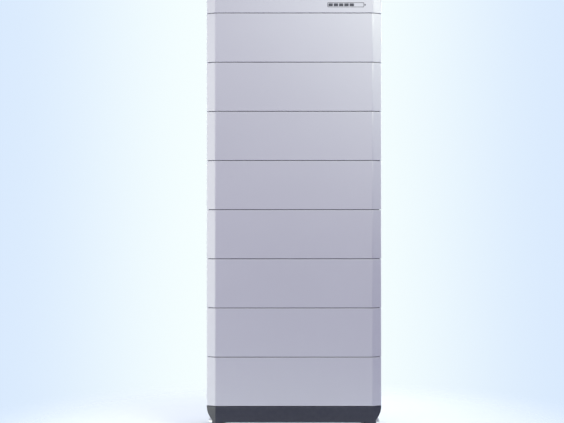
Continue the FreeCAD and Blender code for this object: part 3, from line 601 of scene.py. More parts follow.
# %% Tongues and module covers
TONGUE_X = 180 * MM
TONGUE_WIDTH = 30 * MM
TONGUE_INSET = 12.5 * MM
TONGUE_REACH = 6 * MM


def tongue(x, wall, inward):
    """A strip that drops from a wall of the tray and turns towards the back."""
    drop = wall + inward * (TONGUE_INSET - SHEET)
    root = COVER_BACK - 12 * MM
    tip = COVER_BACK + TONGUE_REACH
    side = [
        (root, wall - inward * SHEET / 2), (root + SHEET, wall - inward * SHEET / 2), (root + SHEET, drop),
        (tip, drop), (tip, drop + inward * SHEET), (root, drop + inward * SHEET),
    ]
    return extruded([(x - TONGUE_WIDTH / 2, y, z) for y, z in side], (TONGUE_WIDTH, 0, 0))


def whole_cover(front, bottom, top, pierce=None):
    parts = [pressed_tray(front, bottom, top, pierce)]
    for x in (-TONGUE_X, TONGUE_X):
        parts.append(tongue(x, bottom + SHEET, 1))
        parts.append(tongue(x, top - SHEET, -1))
    return join(*parts)


for unit in UNITS:
    low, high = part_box(f"{unit}_front_cover")
    shape = whole_cover(FRONT, low.z, high.z)
    cover = make_piece(f"{unit}_pressed_cover", shape, unit, cover_paint)
    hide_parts(f"{unit}_front_cover")
print("module covers", MODULES, "with", len(cover.data.polygons), "faces each")

# %% [markdown]
# ## The control unit's cover
# The top cover has a round hole for the button and a slot for the light. The front skin is cut along four
# straight lines round each window, and the slot's face is taken out. For the round hole, the square's edges
# are divided and bridged to a circle of as many points. The skin lies a hair behind the other covers', so
# that the sign printed on it has room.

# %% Pierce the top cover
button_low, button_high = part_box("power_button")
BUTTON = Vector((button_low.x + button_high.x, 0, button_low.z + button_high.z)) / 2
CLEARANCE = 0.5 * MM
HOLE_RADIUS = (button_high.x - button_low.x) / 2 + CLEARANCE
GUIDE_FLANGE = 6 * MM
SLOT_HEIGHT = 6 * MM
PRINT_ROOM = 0.15 * MM
HOLE_POINTS = 48


def window(shape, x_range, z_range):
    """Cuts the front skin along the window's four sides and takes out the face between them."""
    for axis, values in ((0, x_range), (2, z_range)):
        for value in values:
            skin = [f for f in shape.faces if f.normal.y < -0.9]
            if axis == 2:
                skin = [f for f in skin if x_range[0] < f.calc_center_median().x < x_range[1]]
            parts = {e for f in skin for e in f.edges} | {v for f in skin for v in f.verts} | set(skin)
            normal = Vector((axis == 0, 0, axis == 2))
            bmesh.ops.bisect_plane(shape, geom=list(parts), plane_co=normal * value, plane_no=normal)
    middle = Vector((sum(x_range) / 2, 0, sum(z_range) / 2))
    hole = min(shape.faces, key=lambda f: (f.calc_center_median() * Vector((1, 0, 1)) - middle).length
               if f.normal.y < -0.9 else 9)
    edges = list(hole.edges)
    bmesh.ops.delete(shape, geom=[hole], context="FACES_ONLY")
    return edges


def pierce_top_cover(shape):
    slot_half = (guide_high.x - guide_low.x) / 2 - GUIDE_FLANGE + CLEARANCE
    slot_across = (guide_middle - slot_half, guide_middle + slot_half)
    window(shape, slot_across, (BUTTON.z - SLOT_HEIGHT / 2, BUTTON.z + SLOT_HEIGHT / 2))
    reach = HOLE_RADIUS + 4 * MM
    square = window(shape, (BUTTON.x - reach, BUTTON.x + reach), (BUTTON.z - reach, BUTTON.z + reach))
    divided = bmesh.ops.subdivide_edges(shape, edges=square, cuts=HOLE_POINTS // 4 - 1)["geom_inner"]
    centre = Matrix.Translation((BUTTON.x, FRONT + PRINT_ROOM, BUTTON.z))
    circle = bmesh.ops.create_circle(
        shape, segments=HOLE_POINTS, radius=HOLE_RADIUS,
        matrix=centre @ Matrix.Rotation(math.radians(90), 4, "X") @ Matrix.Rotation(math.radians(45), 4, "Z"),
    )["verts"]
    rim = {e for v in circle for e in v.link_edges}
    sides = {e for g in divided if isinstance(g, bmesh.types.BMVert) for e in g.link_edges if e.is_boundary}
    bmesh.ops.bridge_loops(shape, edges=list(rim | sides))


low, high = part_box("control_unit_front_cover")
shape = whole_cover(FRONT + PRINT_ROOM, low.z, high.z, pierce_top_cover)
top_cover = make_piece("control_unit_pressed_cover", shape, "control_cover", cover_paint)
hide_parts("control_unit_front_cover")
print("top cover", len(top_cover.data.polygons), "faces")

# %% [markdown]
# ## Joint gaskets
# Two stacked units would leave an open slit of 2 mm. A strip of foam, set a little behind the edge all the
# way round, closes it, and reads as a thin dark line. Each strip stays on the lower unit. It is the plan
# outline, inset once and pulled up. A new face has no normal yet, and an inset needs one.

# %% Glue the gaskets
FOAM_INSET = 5 * MM
FOAM_WIDTH = 5 * MM
FOAM_GAP = 0.02 * MM
FOAM_ROUNDING = 0.5 * MM


def foam_strip(bottom):
    side = CASE_RIGHT - FOAM_INSET
    back = CASE_BACK - FOAM_INSET
    slant = FRONT + CHAMFER_DEPTH + FOAM_INSET / 2
    half = [(side, back), (side, slant), (RIGHT - CHAMFER_WIDTH - FOAM_INSET / 3, FRONT + FOAM_INSET)]
    shape = bmesh.new()
    outline = half + [(-x, y) for x, y in reversed(half)]
    face = shape.faces.new([shape.verts.new((x, y, bottom)) for x, y in outline])
    shape.normal_update()
    bmesh.ops.inset_region(shape, faces=[face], thickness=FOAM_WIDTH, **EVEN)
    bmesh.ops.delete(shape, geom=[face], context="FACES_ONLY")
    lifted = pulled(shape, list(shape.faces), (0, 0, SEAM - FOAM_GAP))
    outward(shape)
    top_edges = {e for v in lifted for e in v.link_edges if all(w in lifted for w in e.verts)}
    return rounded(shape, [e for e in top_edges if e.calc_face_angle(0) > 1], FOAM_ROUNDING, 2)


for k, (body, top) in enumerate(TOPS.items(), 1):
    make_piece(f"joint_foam_{k}", foam_strip(top), body, joint_foam)
print("gaskets", len(TOPS))

# %% [markdown]
# ## Screws
# The cases are closed with flat-headed screws that have a six-lobed recess. One head is modelled: a disc
# with a rounded rim, whose top is inset, drawn inwards at every other pair of points, and pushed down. It is
# stamped wherever a screw sits, each time with another turn.

# %% Make a screw head
HEAD_RADIUS = 3.8 * MM
HEAD_RISE = 1.3 * MM
HEAD_ROUNDING = 0.7 * MM
LOBE_RADIUS = 1.7 * MM
LOBE_WAIST = 0.74
RECESS_DEPTH = 0.9 * MM
HEAD_POINTS = 24


def screw_head():
    shape = bmesh.new()
    bmesh.ops.create_circle(shape, cap_ends=True, segments=HEAD_POINTS, radius=HEAD_RADIUS)
    pulled(shape, list(shape.faces), (0, 0, HEAD_RISE))
    top = max(outward(shape).faces, key=lambda f: f.calc_center_median().z)
    rounded(shape, list(top.edges), HEAD_ROUNDING)
    top = max(shape.faces, key=lambda f: f.calc_center_median().z + f.calc_area())
    bmesh.ops.inset_region(shape, faces=[top], thickness=HEAD_RADIUS - HEAD_ROUNDING - LOBE_RADIUS)
    for i, vert in enumerate(top.verts):
        if i // 2 % 2:
            vert.co.xy *= LOBE_WAIST
    pulled(shape, [top], (0, 0, -RECESS_DEPTH))
    bmesh.ops.delete(shape, geom=[top], context="FACES_ONLY")
    return outward(shape)


head = screw_head()


def screws(places_and_ways):
    """Stamps a screw head at each place. No two slots point the same way."""
    stamps = []
    for i, (place, way) in enumerate(places_and_ways):
        stamps.append((head, facing(place, way) @ Matrix.Rotation(i * 0.7, 4, "Z")))
    return gather(stamps)


# %% Put the screws in
SCREW_MARGIN = 14 * MM
LID_MARGIN = 4.5 * MM
LID_FOLD = 16 * MM


def rear_screws(across, heights):
    return [(Vector((x, CASE_BACK, z)), (0, 1, 0)) for x in across for z in heights]


def side_screws(along, heights):
    return [(Vector((s * CASE_RIGHT, y, z)), (s, 0, 0)) for s in (-1, 1) for y in along for z in heights]


def case_screws(low, high):
    """Along the rear wall near both ends and the middle, and on the sides near the front."""
    heights = (low + SCREW_MARGIN, high - SCREW_MARGIN)
    return rear_screws((-0.272, -0.13, 0.13, 0.272), heights) + side_screws((-0.094,), heights)


for unit in UNITS:
    low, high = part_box(f"{unit}_case")
    heads = screws(case_screws(low.z, high.z))
    make_piece(f"{unit}_screws", heads, unit, zinc_steel)

low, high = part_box("control_unit_case")
lid_line = (high.z - LID_MARGIN,)
lid_screws = rear_screws((-0.2, 0, 0.2), lid_line) + side_screws((-0.06, 0.11), lid_line)
heads = screws(case_screws(low.z, high.z - LID_FOLD) + lid_screws)
make_piece("control_unit_screws", heads, "control_unit", zinc_steel)
print("screw heads per module", 12, "with", len(head.faces), "faces each")

# %% [markdown]
# ## Trims round the wells
# Each well in the side walls has a moulded trim, so that no raw steel edge cuts a finger: a flat lip on the
# wall and a short sleeve into the well. It starts as a rounded rectangle, whose rim is inset for the lip and
# pulled in for the sleeve. Solidify gives the bent skin its thickness at the end.

# %% Shape a trim
LIP_WIDTH = 5 * MM
LIP_RISE = 1.2 * MM
LIP_OVERHANG = 1 * MM
SLEEVE = 9 * MM
TRIM_ROUNDING = 0.5 * MM
TRIM_WALL = 0.45 * MM
CORNER_SEGMENTS = 8


def well_trim(length, height, corner):
    """A trim round the origin, with its lip facing along Z. Its sizes are those of the well."""
    shape = bmesh.new()
    bmesh.ops.create_grid(shape, x_segments=1, y_segments=1, size=0.5)
    bmesh.ops.scale(shape, vec=(length + 2 * LIP_WIDTH, height + 2 * LIP_WIDTH, 1), verts=shape.verts)
    bmesh.ops.bevel(
        shape, geom=list(shape.verts), offset=(corner + LIP_WIDTH) * 0.9, segments=CORNER_SEGMENTS,
        profile=0.5, affect="VERTICES", material=-1,
    )
    middle = max(shape.faces, key=lambda f: f.calc_area())
    bmesh.ops.inset_region(shape, faces=[middle], thickness=LIP_WIDTH + LIP_OVERHANG, **EVEN)
    rim = list(middle.edges)
    bmesh.ops.delete(shape, geom=[middle], context="FACES_ONLY")
    lip = list(shape.faces)
    pulled_rim(shape, rim, (0, 0, -SLEEVE))
    pulled_rim(shape, [e for e in shape.edges if e.is_boundary and e.link_faces[0] in lip], (0, 0, -LIP_RISE))
    outward(shape)
    sharp = [e for e in shape.edges if len(e.link_faces) == 2 and e.calc_face_angle(0) > 1.2]
    rounded(shape, sharp, TRIM_ROUNDING)
    for face in shape.faces:
        face.smooth = abs(face.normal.z) < 0.99
    bmesh.ops.solidify(shape, geom=list(shape.faces), thickness=TRIM_WALL)
    return outward(shape)


# %% Trim the wells
def fit_trim(name, trim, body, side, y, z):
    place = facing((side * (CASE_RIGHT + LIP_RISE), y, z), (side, 0, 0))
    make_piece(name, trim, body, black_plastic, place)


grip_trim = well_trim(120 * MM, 34 * MM, 10 * MM)
for opening in frame["record"]["physics"]["openings"]:
    if opening["name"].endswith("_grip"):
        low, high = (Vector(corner) for corner in opening["box_m"])
        middle = (low + high) / 2
        body = opening["name"].rsplit("_", 2)[0]
        side = 1 if middle.x > 0 else -1
        fit_trim(f"{opening['name']}_trim", grip_trim, body, side, middle.y, middle.z)
handle_low, handle_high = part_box("isolator_handle")
KNOB = (handle_low + handle_high) / 2
NICHE_Y = 65 * MM
NICHE_Z = CONTROL_Z + 96 * MM
fit_trim("isolator_well_trim", well_trim(92 * MM, 92 * MM, 12 * MM), "control_unit", 1, KNOB.y, KNOB.z)
fit_trim("connector_niche_trim", well_trim(130 * MM, 108 * MM, 12 * MM), "control_unit", -1, NICHE_Y, NICHE_Z)
print("trims", 2 * MODULES + 2)

# %% [markdown]
# ## Vent membranes
# A pierced cap in each module's rear wall lets air through and keeps dust out. It is turned like a coin, and
# six short tubes stand round its middle as the holes.

# %% Fit the vents
VENT_Z = 60 * MM
VENT_FACE = 146.0 * MM
VENT_RING = 8 * MM
vent_cap = turned([
    (0, 0.2), (4.2, 0.2), (4.4, 0.9), (5.4, 0.9), (5.6, 0.5), (10.6, 0.5), (10.9, 1.2), (12.2, 1.2),
    (12.6, 0.8), (12.6, 0), (0, 0),
])
vent_hole = turned([(0, 0.52), (1.3, 0.52), (1.6, 0.75), (1.9, 0.52), (1.9, 0.4), (0, 0.4)], 20)
vent = join(vent_cap, ring_of(vent_hole, 6, VENT_RING))
for k, unit in enumerate(UNITS):
    place = facing((0, VENT_FACE, BASE_TOP + k * PITCH + VENT_Z), (0, 1, 0))
    make_piece(f"{unit}_vent_cap", vent, unit, black_plastic, place)
print("vent caps", MODULES)

# %% [markdown]
# ## Threads and nuts
# A thread is one outline of root and crest, spun round its rod while it climbs by one pitch per turn. It
# starts some turns below the rod and stops above it, two planes cut it square, and the cuts are filled. The
# lead-in isn't a whole number of steps, so no point lies in the lower plane. A nut is a bevelled prism.

# %% Cut threads
PITCH_OF_THREAD = 1.75 * MM
THREAD_ROOT = 5.25 * MM
THREAD_CREST = 6.0 * MM
STEPS_PER_TURN = 24
LEAD_IN = 1.77
LEAD_OUT = 2.23
THREAD_OUTLINE = [("root", 0), ("root", 0.15), ("crest", 0.4), ("crest", 0.6), ("root", 0.85), ("root", 1)]


def thread(root, crest, pitch, low, high):
    """A threaded rod from low to high, closed at both ends."""
    shape = bmesh.new()
    turns = math.ceil((high - low) / pitch) + round(LEAD_IN + LEAD_OUT)
    start = low - LEAD_IN * pitch
    radii = {"root": root, "crest": crest}
    points = [shape.verts.new((radii[which], 0, start + share * pitch)) for which, share in THREAD_OUTLINE]
    line = [shape.edges.new(pair) for pair in zip(points, points[1:])]
    bmesh.ops.spin(
        shape, geom=points + line, cent=(0, 0, 0), axis=(0, 0, 1), dvec=(0, 0, pitch / STEPS_PER_TURN),
        angle=math.tau * turns, steps=STEPS_PER_TURN * turns,
    )
    bmesh.ops.remove_doubles(shape, verts=shape.verts, dist=0.01 * MM)
    outward(shape)
    for height, way in ((low, -1), (high, 1)):
        everything = list(shape.verts) + list(shape.edges) + list(shape.faces)
        cut = bmesh.ops.bisect_plane(
            shape, geom=everything, plane_co=(0, 0, height), plane_no=(0, 0, way), clear_outer=True
        )["geom_cut"]
        bmesh.ops.holes_fill(shape, edges=[g for g in cut if isinstance(g, bmesh.types.BMEdge)], sides=0)
    return crisp(outward(shape), 35)


def hex_prism(across_flats, low, high, chamfer):
    """A nut or head: a six-sided prism with bevelled ends."""
    shape = bmesh.new()
    bmesh.ops.create_circle(shape, cap_ends=True, segments=6, radius=across_flats / math.sqrt(3))
    pulled(shape, list(shape.faces), (0, 0, high - low))
    bmesh.ops.translate(shape, vec=(0, 0, low), verts=shape.verts)
    outward(shape)
    level = [e for e in shape.edges if abs(e.verts[0].co.z - e.verts[1].co.z) < 0.01 * MM]
    return rounded(shape, level, chamfer, 2)


print("thread pitch", PITCH_OF_THREAD)

# %% [markdown]
# ## Feet
# Each foot is a threaded stud with a hexagon to turn it by, and its neck sits in a wide pad: a moulded disc
# on a softer sole, with ribs round a raised collar.

# %% Make the feet
PAD_RIBS = 12
RIB_WIDTH = 1.4 * MM
HEXAGON = (19 * MM, 14 * MM, 22 * MM, 0.8 * MM)
stud_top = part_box("foot_stud_1")[1].z
stud = join(
    thread(THREAD_ROOT, THREAD_CREST, PITCH_OF_THREAD, 22.2 * MM, stud_top),
    hex_prism(*HEXAGON),
    turned([(0, 6), (4.6, 6), (5, 6.4), (5, 11.9), (6, 12.2), (6, 13.9), (0, 13.9)], 32),
)
pad_body = turned([
    (0, 5.9), (5.1, 5.9), (5.1, 12), (9.6, 12), (10.6, 11.4), (11.6, 8.0), (13, 6.6), (16, 6.0),
    (23.2, 5.4), (24.6, 4.6), (25, 3.4), (25, 2.2), (0, 2.2),
])
pad_sole = turned([
    (0, 2.15), (24.2, 2.15), (24.6, 1.8), (24.2, 1.3), (24.2, 0.4), (23.6, 0), (19, 0), (18.6, 0.6),
    (17.4, 0.6), (17, 0), (0, 0),
])
rib_side = [(10.2, 11.2), (22.5, 6.0), (22.5, 4.0), (10.2, 4.0)]
rib = extruded([(x * MM, -RIB_WIDTH / 2, z * MM) for x, z in rib_side], (0, RIB_WIDTH, 0))
rounded(rib, [e for e in rib.edges if all(v.co.z > 5.9 * MM for v in e.verts)], 0.4 * MM, 2)
pad = join(pad_body, ring_of(rib, PAD_RIBS))

# %% Place the feet
for i in range(1, 5):
    low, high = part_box(f"foot_stud_{i}")
    middle = (low + high) / 2
    spot = Matrix.Translation((middle.x, middle.y, 0))
    stud_piece = make_piece(f"threaded_stud_{i}", stud, f"foot_stud_{i}", zinc_steel, spot)
    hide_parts(f"foot_stud_{i}")
    pad_piece = make_piece(f"ribbed_pad_{i}", pad, f"foot_pad_{i}", black_plastic, spot)
    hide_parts(f"foot_pad_{i}")
    make_piece(f"rubber_sole_{i}", pad_sole, f"foot_pad_{i}", foot_rubber, spot)
print("stud", len(stud.faces), "faces, pad", len(pad.faces), "faces")

# %% [markdown]
# ## Battery sign
# The top cover carries one printed sign, a battery with five filled bars. Ink has almost no thickness, so it
# is a plate 0.1 mm thick in front of the cover's skin. The outline is that plate with both faces inset and
# taken out, and the two loops bridged.

# %% Print the battery sign
INK = 0.10 * MM
INK_GAP = 0.02 * MM
INK_LINE = 1.6 * MM
ROUND_INK = 1.2 * MM
INK_FRONT = FRONT + INK_GAP


def plate(x_range, z_range, corner):
    """A thin printed rectangle with rounded corners that faces the front."""
    shape = slab((x_range[0], INK_FRONT, z_range[0]), (x_range[1], INK_FRONT + INK, z_range[1]))
    bars = [e for e in shape.edges if abs(e.verts[0].co.y - e.verts[1].co.y) > INK / 2]
    return rounded(shape, bars, corner, 4)


def outline_plate(x_range, z_range, corner):
    """The same rectangle as a frame of one line's width."""
    shape = plate(x_range, z_range, corner)
    loops = []
    for side in (-1, 1):
        face = max(shape.faces, key=lambda f: side * f.normal.y * f.calc_area())
        bmesh.ops.inset_region(shape, faces=[face], thickness=INK_LINE, **EVEN)
        loops += list(face.edges)
        bmesh.ops.delete(shape, geom=[face], context="FACES_ONLY")
    bmesh.ops.bridge_loops(shape, edges=loops)
    return outward(shape)


SIGN_LEFT, SIGN_RIGHT = 0.112, 0.240
SIGN_LOW, SIGN_HIGH = 1.4355, 1.4515
POLE_WIDTH = 3.4 * MM
BAR_MARGIN = 3.4 * MM
BAR_STEP = (SIGN_RIGHT - SIGN_LEFT - 4 * MM) / 7
signs = [outline_plate((SIGN_LEFT, SIGN_RIGHT - 5 * MM), (SIGN_LOW, SIGN_HIGH), 3 * MM)]
signs.append(plate((SIGN_RIGHT - POLE_WIDTH, SIGN_RIGHT), (SIGN_LOW + 5 * MM, SIGN_HIGH - 5 * MM), ROUND_INK))
for i in range(5):
    left = SIGN_LEFT + BAR_MARGIN + i * BAR_STEP
    bar_heights = (SIGN_LOW + BAR_MARGIN, SIGN_HIGH - BAR_MARGIN)
    signs.append(plate((left, left + BAR_STEP - 3 * MM), bar_heights, ROUND_INK))
make_piece("battery_sign", join(*signs), "control_cover", mark_ink)
print("battery sign", round(1000 * (SIGN_RIGHT - SIGN_LEFT)), "mm wide")

# %% [markdown]
# ## Power sign
# The button carries the usual sign for power: a ring that is open at the top, with a stroke in the gap. The
# ring is one face spun through most of a turn, so that both ends come out closed.

# %% Print the power sign
def open_ring(radius, line, gap):
    """A flat ring about Z with a gap centred on the positive Y axis."""
    shape = bmesh.new()
    inner, outer = radius - line / 2, radius + line / 2
    turn = Matrix.Rotation(math.pi / 2 + gap / 2, 4, "Z")
    section = [turn @ Vector((x, 0, z)) for x, z in ((inner, 0), (outer, 0), (outer, INK), (inner, INK))]
    face = shape.faces.new([shape.verts.new(point) for point in section])
    bmesh.ops.spin(
        shape, geom=[face], cent=(0, 0, 0), axis=(0, 0, 1), angle=math.tau - gap, steps=36,
        use_merge=False, use_duplicate=False,
    )
    return outward(shape)


def inked(x0, y0, x1, y1):
    """A printed stroke that lies on the plane of X and Y, from its corners in millimetres."""
    return slab((x0 * MM, y0 * MM, 0), (x1 * MM, y1 * MM, INK))


button_face = facing((BUTTON.x, button_low.y + INK_GAP, BUTTON.z), (0, -1, 0))
sign = join(open_ring(3.9 * MM, 0.9 * MM, 1.1), inked(-0.45, 1.6, 0.45, 4.9))
make_piece("power_sign", sign, "power_button", pale_ink, button_face)
print("power sign at", [round(v, 3) for v in BUTTON])

# %% [markdown]
# ## The isolator
# The red handle turns a quarter from I, upright, to O, towards the front. Both signs are printed on a turned
# ring with raised rims, with ticks between them.

# %% Fit the isolator's dial
WELL_FLOOR = 258.5 * MM
DIAL_RISE = 0.9 * MM
SIGN_RADIUS = 37 * MM
TICKS = 5


def heading(place, way):
    """The angle, on a placed piece's own plane, that points some way in the world."""
    local = place.to_3x3().inverted() @ Vector(way)
    return math.atan2(local.y, local.x) % math.tau


dial_place = facing((WELL_FLOOR + INK_GAP, KNOB.y, KNOB.z), (1, 0, 0))
UP = heading(dial_place, (0, 0, 1))
TO_FRONT = heading(dial_place, (0, -1, 0))
dial_ring = turned([
    (31, 0), (31, 0.8), (31.5, 1.3), (32.4, 1.3), (32.8, 0.9), (41.8, 0.9), (42.2, 1.3), (42.7, 1.2),
    (43, 0.7), (43, 0), (31, 0),
], 96)
make_piece("isolator_dial", dial_ring, "control_unit", black_plastic, dial_place)


def on_dial(angle, radius):
    """A placement on the dial, with its X axis pointing outwards."""
    return dial_place @ Matrix.Rotation(angle, 4, "Z") @ Matrix.Translation((radius, 0, DIAL_RISE))


ring_o = turned([(2.0, 0), (2.0, 0.1), (3.2, 0.1), (3.2, 0), (2.0, 0)], 40)
bar_i = inked(-3.2, -0.7, 3.2, 0.7)
dial_marks = [(bar_i, on_dial(UP, SIGN_RADIUS)), (ring_o, on_dial(TO_FRONT, SIGN_RADIUS))]
for i in range(TICKS):
    angle = UP + (i + 1) / (TICKS + 1) * (TO_FRONT - UP)
    dial_marks.append((inked(-1, -0.3, 1, 0.3), on_dial(angle, SIGN_RADIUS + 1.6 * MM)))
make_piece("isolator_marks", gather(dial_marks), "control_unit", pale_ink)

pointer = inked(20, -1.1, 30, 1.1)
pointer_place = facing((handle_high.x - INK_GAP, KNOB.y, KNOB.z), (1, 0, 0)) @ Matrix.Rotation(UP, 4, "Z")
make_piece("isolator_pointer", pointer, "isolator_handle", pale_ink, pointer_place)
print("isolator dial, I at", round(math.degrees(UP)), "and O at", round(math.degrees(TO_FRONT)), "degrees")

# %% [markdown]
# ## Connectors in the niche
# The power outlets carry a red and a black ring below a plus and a minus sign, and each holds a brass pin.
# The data sockets have ribbed caps, and the earth stud a washer, a nut and its sign. All of them are shaped
# along Z and then placed facing left.

# %% Fit the outlets
NICHE_FLOOR = -242.5 * MM
OUTLET_Z = CONTROL_Z + 118 * MM
SOCKET_Z = CONTROL_Z + 72 * MM
BAND_HEIGHT = 12 * MM
BORE_FLOOR = 6 * MM
SIGN_ABOVE = 22 * MM


def in_niche(y, z, height=0.0):
    return facing((NICHE_FLOOR - height, y, z), (-1, 0, 0))


def print_in_niche(name, sign, y, z):
    """Prints a sign on the niche's floor, with its Y axis upwards."""
    place = in_niche(y, z, INK_GAP)
    turn = Matrix.Rotation(heading(place, (0, 0, 1)) - math.pi / 2, 4, "Z")
    make_piece(name, sign, "control_unit", mark_ink, place @ turn)


colour_band = turned([(10.9, 0), (11.5, 0), (12, 0.5), (12, 4.5), (11.5, 5), (10.9, 5), (10.9, 0)])
contact_pin = turned([(0, 0), (2.6, 0), (2.6, 12.6), (2.2, 13.6), (1.2, 14.2), (0, 14.4)], 32)
minus = inked(-3, -0.7, 3, 0.7)
plus = join(minus, inked(-0.7, 0.75, 0.7, 3), inked(-0.7, -3, 0.7, -0.75))
for name, y, finish, sign in (("plus", 25 * MM, red_ring, plus), ("minus", 70 * MM, black_plastic, minus)):
    place = in_niche(y, OUTLET_Z, BAND_HEIGHT)
    make_piece(f"{name}_outlet_band", colour_band, "control_unit", finish, place)
    place = in_niche(y, OUTLET_Z, BORE_FLOOR)
    make_piece(f"{name}_outlet_pin", contact_pin, "control_unit", brass, place)
    print_in_niche(f"{name}_outlet_sign", sign, y, OUTLET_Z + SIGN_ABOVE)
print("outlets", 2)

# %% Cap the data sockets
CAP_RIBS = 30
CAP_CREST = 8.7 * MM
CAP_VALLEY = 8.15 * MM
CAP_LENGTH = 8 * MM
cap_grip = bmesh.new()
bmesh.ops.create_circle(cap_grip, cap_ends=True, segments=2 * CAP_RIBS, radius=CAP_CREST)
for i, vert in enumerate(cap_grip.verts):
    if i % 2:
        vert.co.xy *= CAP_VALLEY / CAP_CREST
pulled(cap_grip, list(cap_grip.faces), (0, 0, CAP_LENGTH))
for flat in [f for f in outward(cap_grip).faces if len(f.verts) > 4]:
    bmesh.ops.inset_region(cap_grip, faces=[flat], thickness=1.2 * MM, use_even_offset=True)
    bmesh.ops.translate(cap_grip, vec=flat.normal * 0.4 * MM, verts=flat.verts)
caps = gather([(cap_grip, in_niche(y * MM, SOCKET_Z, 6.2 * MM)) for y in (15, 41, 67)])
make_piece("data_cap_grips", caps, "control_unit", black_plastic)
print("data caps", 3)

# %% Fit the earth stud's nut and sign
EARTH_Y = 105 * MM
earth_stud = join(
    thread(2.7 * MM, 3.15 * MM, 1.0 * MM, 5.2 * MM, 20.9 * MM),
    turned([(3.2, 7), (3.2, 8), (6.8, 8), (7, 7.8), (7, 7.2), (6.8, 7), (3.2, 7)], 40),
    hex_prism(10 * MM, 8.1 * MM, 13 * MM, 0.5 * MM),
)
place = in_niche(EARTH_Y, SOCKET_Z)
make_piece("earth_thread_and_nut", earth_stud, "control_unit", zinc_steel, place)
strokes = [inked(-half, y - 0.45, half, y + 0.45) for half, y in ((4, 0), (2.6, -2), (1.2, -4))]
print_in_niche("earth_sign", join(*strokes, inked(-0.45, 0.5, 0.45, 4)), EARTH_Y, SOCKET_Z - 17 * MM)
print("earth stud with", len(earth_stud.faces), "faces")

# %% [markdown]
# ## Plug contacts
# Inside each plug tower, seven flat brass springs stand along each long wall. They show when a unit is
# lifted off.

# %% Stand the contacts in the towers
TOWER_X = 215 * MM
TOWER_Y = 20 * MM
WALL_FACE = 13.5 * MM
SPRINGS = 7
SPRING_STEP = 7.2 * MM
SPRING_DEPTH = 1.1 * MM
spring = slab((-2.1 * MM, 0, 2 * MM), (2.1 * MM, SPRING_DEPTH, 21.5 * MM))
rounded(spring, [e for e in spring.edges if all(v.co.z > 21 * MM for v in e.verts)], 0.45 * MM, 2)
for body, top in TOPS.items():
    stamps = []
    for i in range(SPRINGS):
        x = TOWER_X + (i - SPRINGS // 2) * SPRING_STEP
        for y in (INK_GAP - WALL_FACE, WALL_FACE - SPRING_DEPTH - INK_GAP):
            stamps.append((spring, Matrix.Translation((x, TOWER_Y + y, top))))
    make_piece(f"{body}_plug_contacts", gather(stamps), body, brass)
print("contacts per tower", len(stamps))

# %% [markdown]
# ## Studio light
# One large soft panel stands to the left and brightens the left chamfer. Two small ones hang near the upper
# right corner, so that the top covers carry a sheen that fades on the way down. Two more light the rear.

# %% Set up the lights
def area_light(name, place, aim, width, height, power, colour=(1, 1, 1)):
    data = bpy.data.lights.new(name, "AREA")
    data.shape = "RECTANGLE"
    data.size, data.size_y = width, height
    data.energy = power
    data.color = colour
    lamp = bpy.data.objects.new(name, data)
    lamp.location = place
    lamp.rotation_euler = (Vector(aim) - Vector(place)).to_track_quat("-Z", "Y").to_euler()
    lamp.visible_camera = False
    bpy.context.scene.collection.objects.link(lamp)


area_light("left_panel", (-3.0, -1.1, 0.9), (-0.2, -0.1, 0.8), 1.6, 2.6, 105, (0.95, 1.0, 0.80))
area_light("corner_panel", (1.25, -0.95, 1.95), (0.25, -0.14, 1.35), 0.7, 0.7, 20, (0.92, 1.0, 0.77))
area_light("top_panel", (0.7, -1.6, 2.4), (0.2, -0.14, 1.35), 0.7, 0.7, 23, (0.94, 1.0, 0.81))
area_light("rear_right_panel", (2.3, 2.1, 1.3), (0.1, 0.1, 0.8), 1.6, 2.2, 45)
area_light("rear_left_panel", (-1.6, 2.8, 1.8), (0, 0.1, 0.8), 1.6, 2.0, 35)
print("lights", len(bpy.data.lights))

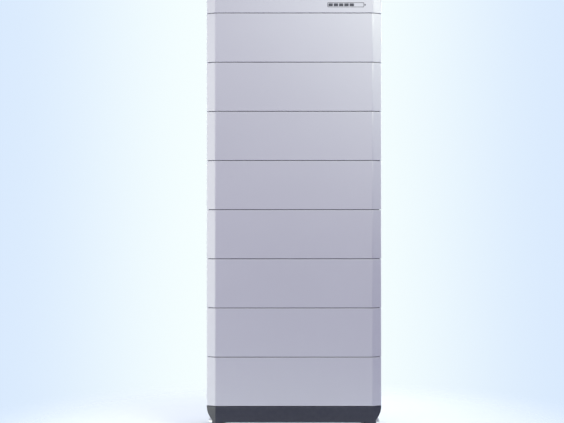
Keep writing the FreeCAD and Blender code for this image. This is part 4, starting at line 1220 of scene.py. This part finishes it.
# %% [markdown]
# ## Surround
# What the camera sees behind the tower is a pale, cool white that deepens a little to the sides. What lights
# the tower is a second one, dimmer in front, as in a room whose camera end is darker. The Light Path node
# tells the two apart.

# %% Fill the surround
world = bpy.data.worlds.new("surround")
world.use_nodes = True
bpy.context.scene.world = world


class Surround(Finish):
    """The world's own graph, written with the same wires as a finish."""

    def __init__(self, its_world):
        self.tree = its_world.node_tree
        self.shader = self.tree.nodes["Background"]


surround = Surround(world)
way = surround.node("TexCoord", {}, {}, "Generated")
sideways = surround.node("SeparateXYZ", {}, {0: way}, 0)
frontways = surround.node("SeparateXYZ", {}, {0: way}, 1)
seen = surround.mix(abs(sideways).ease(0.05, 0.23), (0.915, 1.0, 1.0, 1), (0.70, 0.825, 0.99, 1))
lighting = surround.mix(frontways.ease(-0.6, 0.5), (0.136, 0.07, 0.25, 1), (0.74, 0.80, 0.98, 1))
camera_ray = surround.node("LightPath", {}, {}, "Is Camera Ray")
surround.feed("Color", surround.mix(camera_ray, lighting, seen))
print("surround", world.name)

# %% [markdown]
# ## Floor
# The tower stands on a plain pale floor, whose finish fades to clear with the distance from the tower, so
# that it has no hard edge.

# %% Lay the floor
FLOOR_RADIUS = 1.25
FADE_START = 0.35


def floor_finish():
    made = Finish("floor", Roughness=0.9)
    made.feed("Base Color", made.shade((0.80, 0.84, 0.86), 0.02, made.noise(1.5, 3.0)))
    distance = made.node("VectorMath", {"operation": "LENGTH"}, {0: made.place()}, "Value")
    clear = made.node("BsdfTransparent", {}, {})
    fade = distance.ease(FADE_START, FLOOR_RADIUS)
    mixed = made.node("MixShader", {}, {0: fade, 1: Wire(made, made.shader.outputs[0]), 2: clear})
    made.tree.links.new(mixed.socket, made.tree.nodes["Material Output"].inputs["Surface"])
    return made.material


disc = bmesh.new()
bmesh.ops.create_circle(disc, cap_ends=True, segments=96, radius=FLOOR_RADIUS)
floor_mesh = bpy.data.meshes.new("floor")
disc.to_mesh(floor_mesh)
floor_mesh.materials.append(floor_finish())
floor = bpy.data.objects.new("floor", floor_mesh)
bpy.context.scene.collection.objects.link(floor)
print("floor radius", FLOOR_RADIUS)
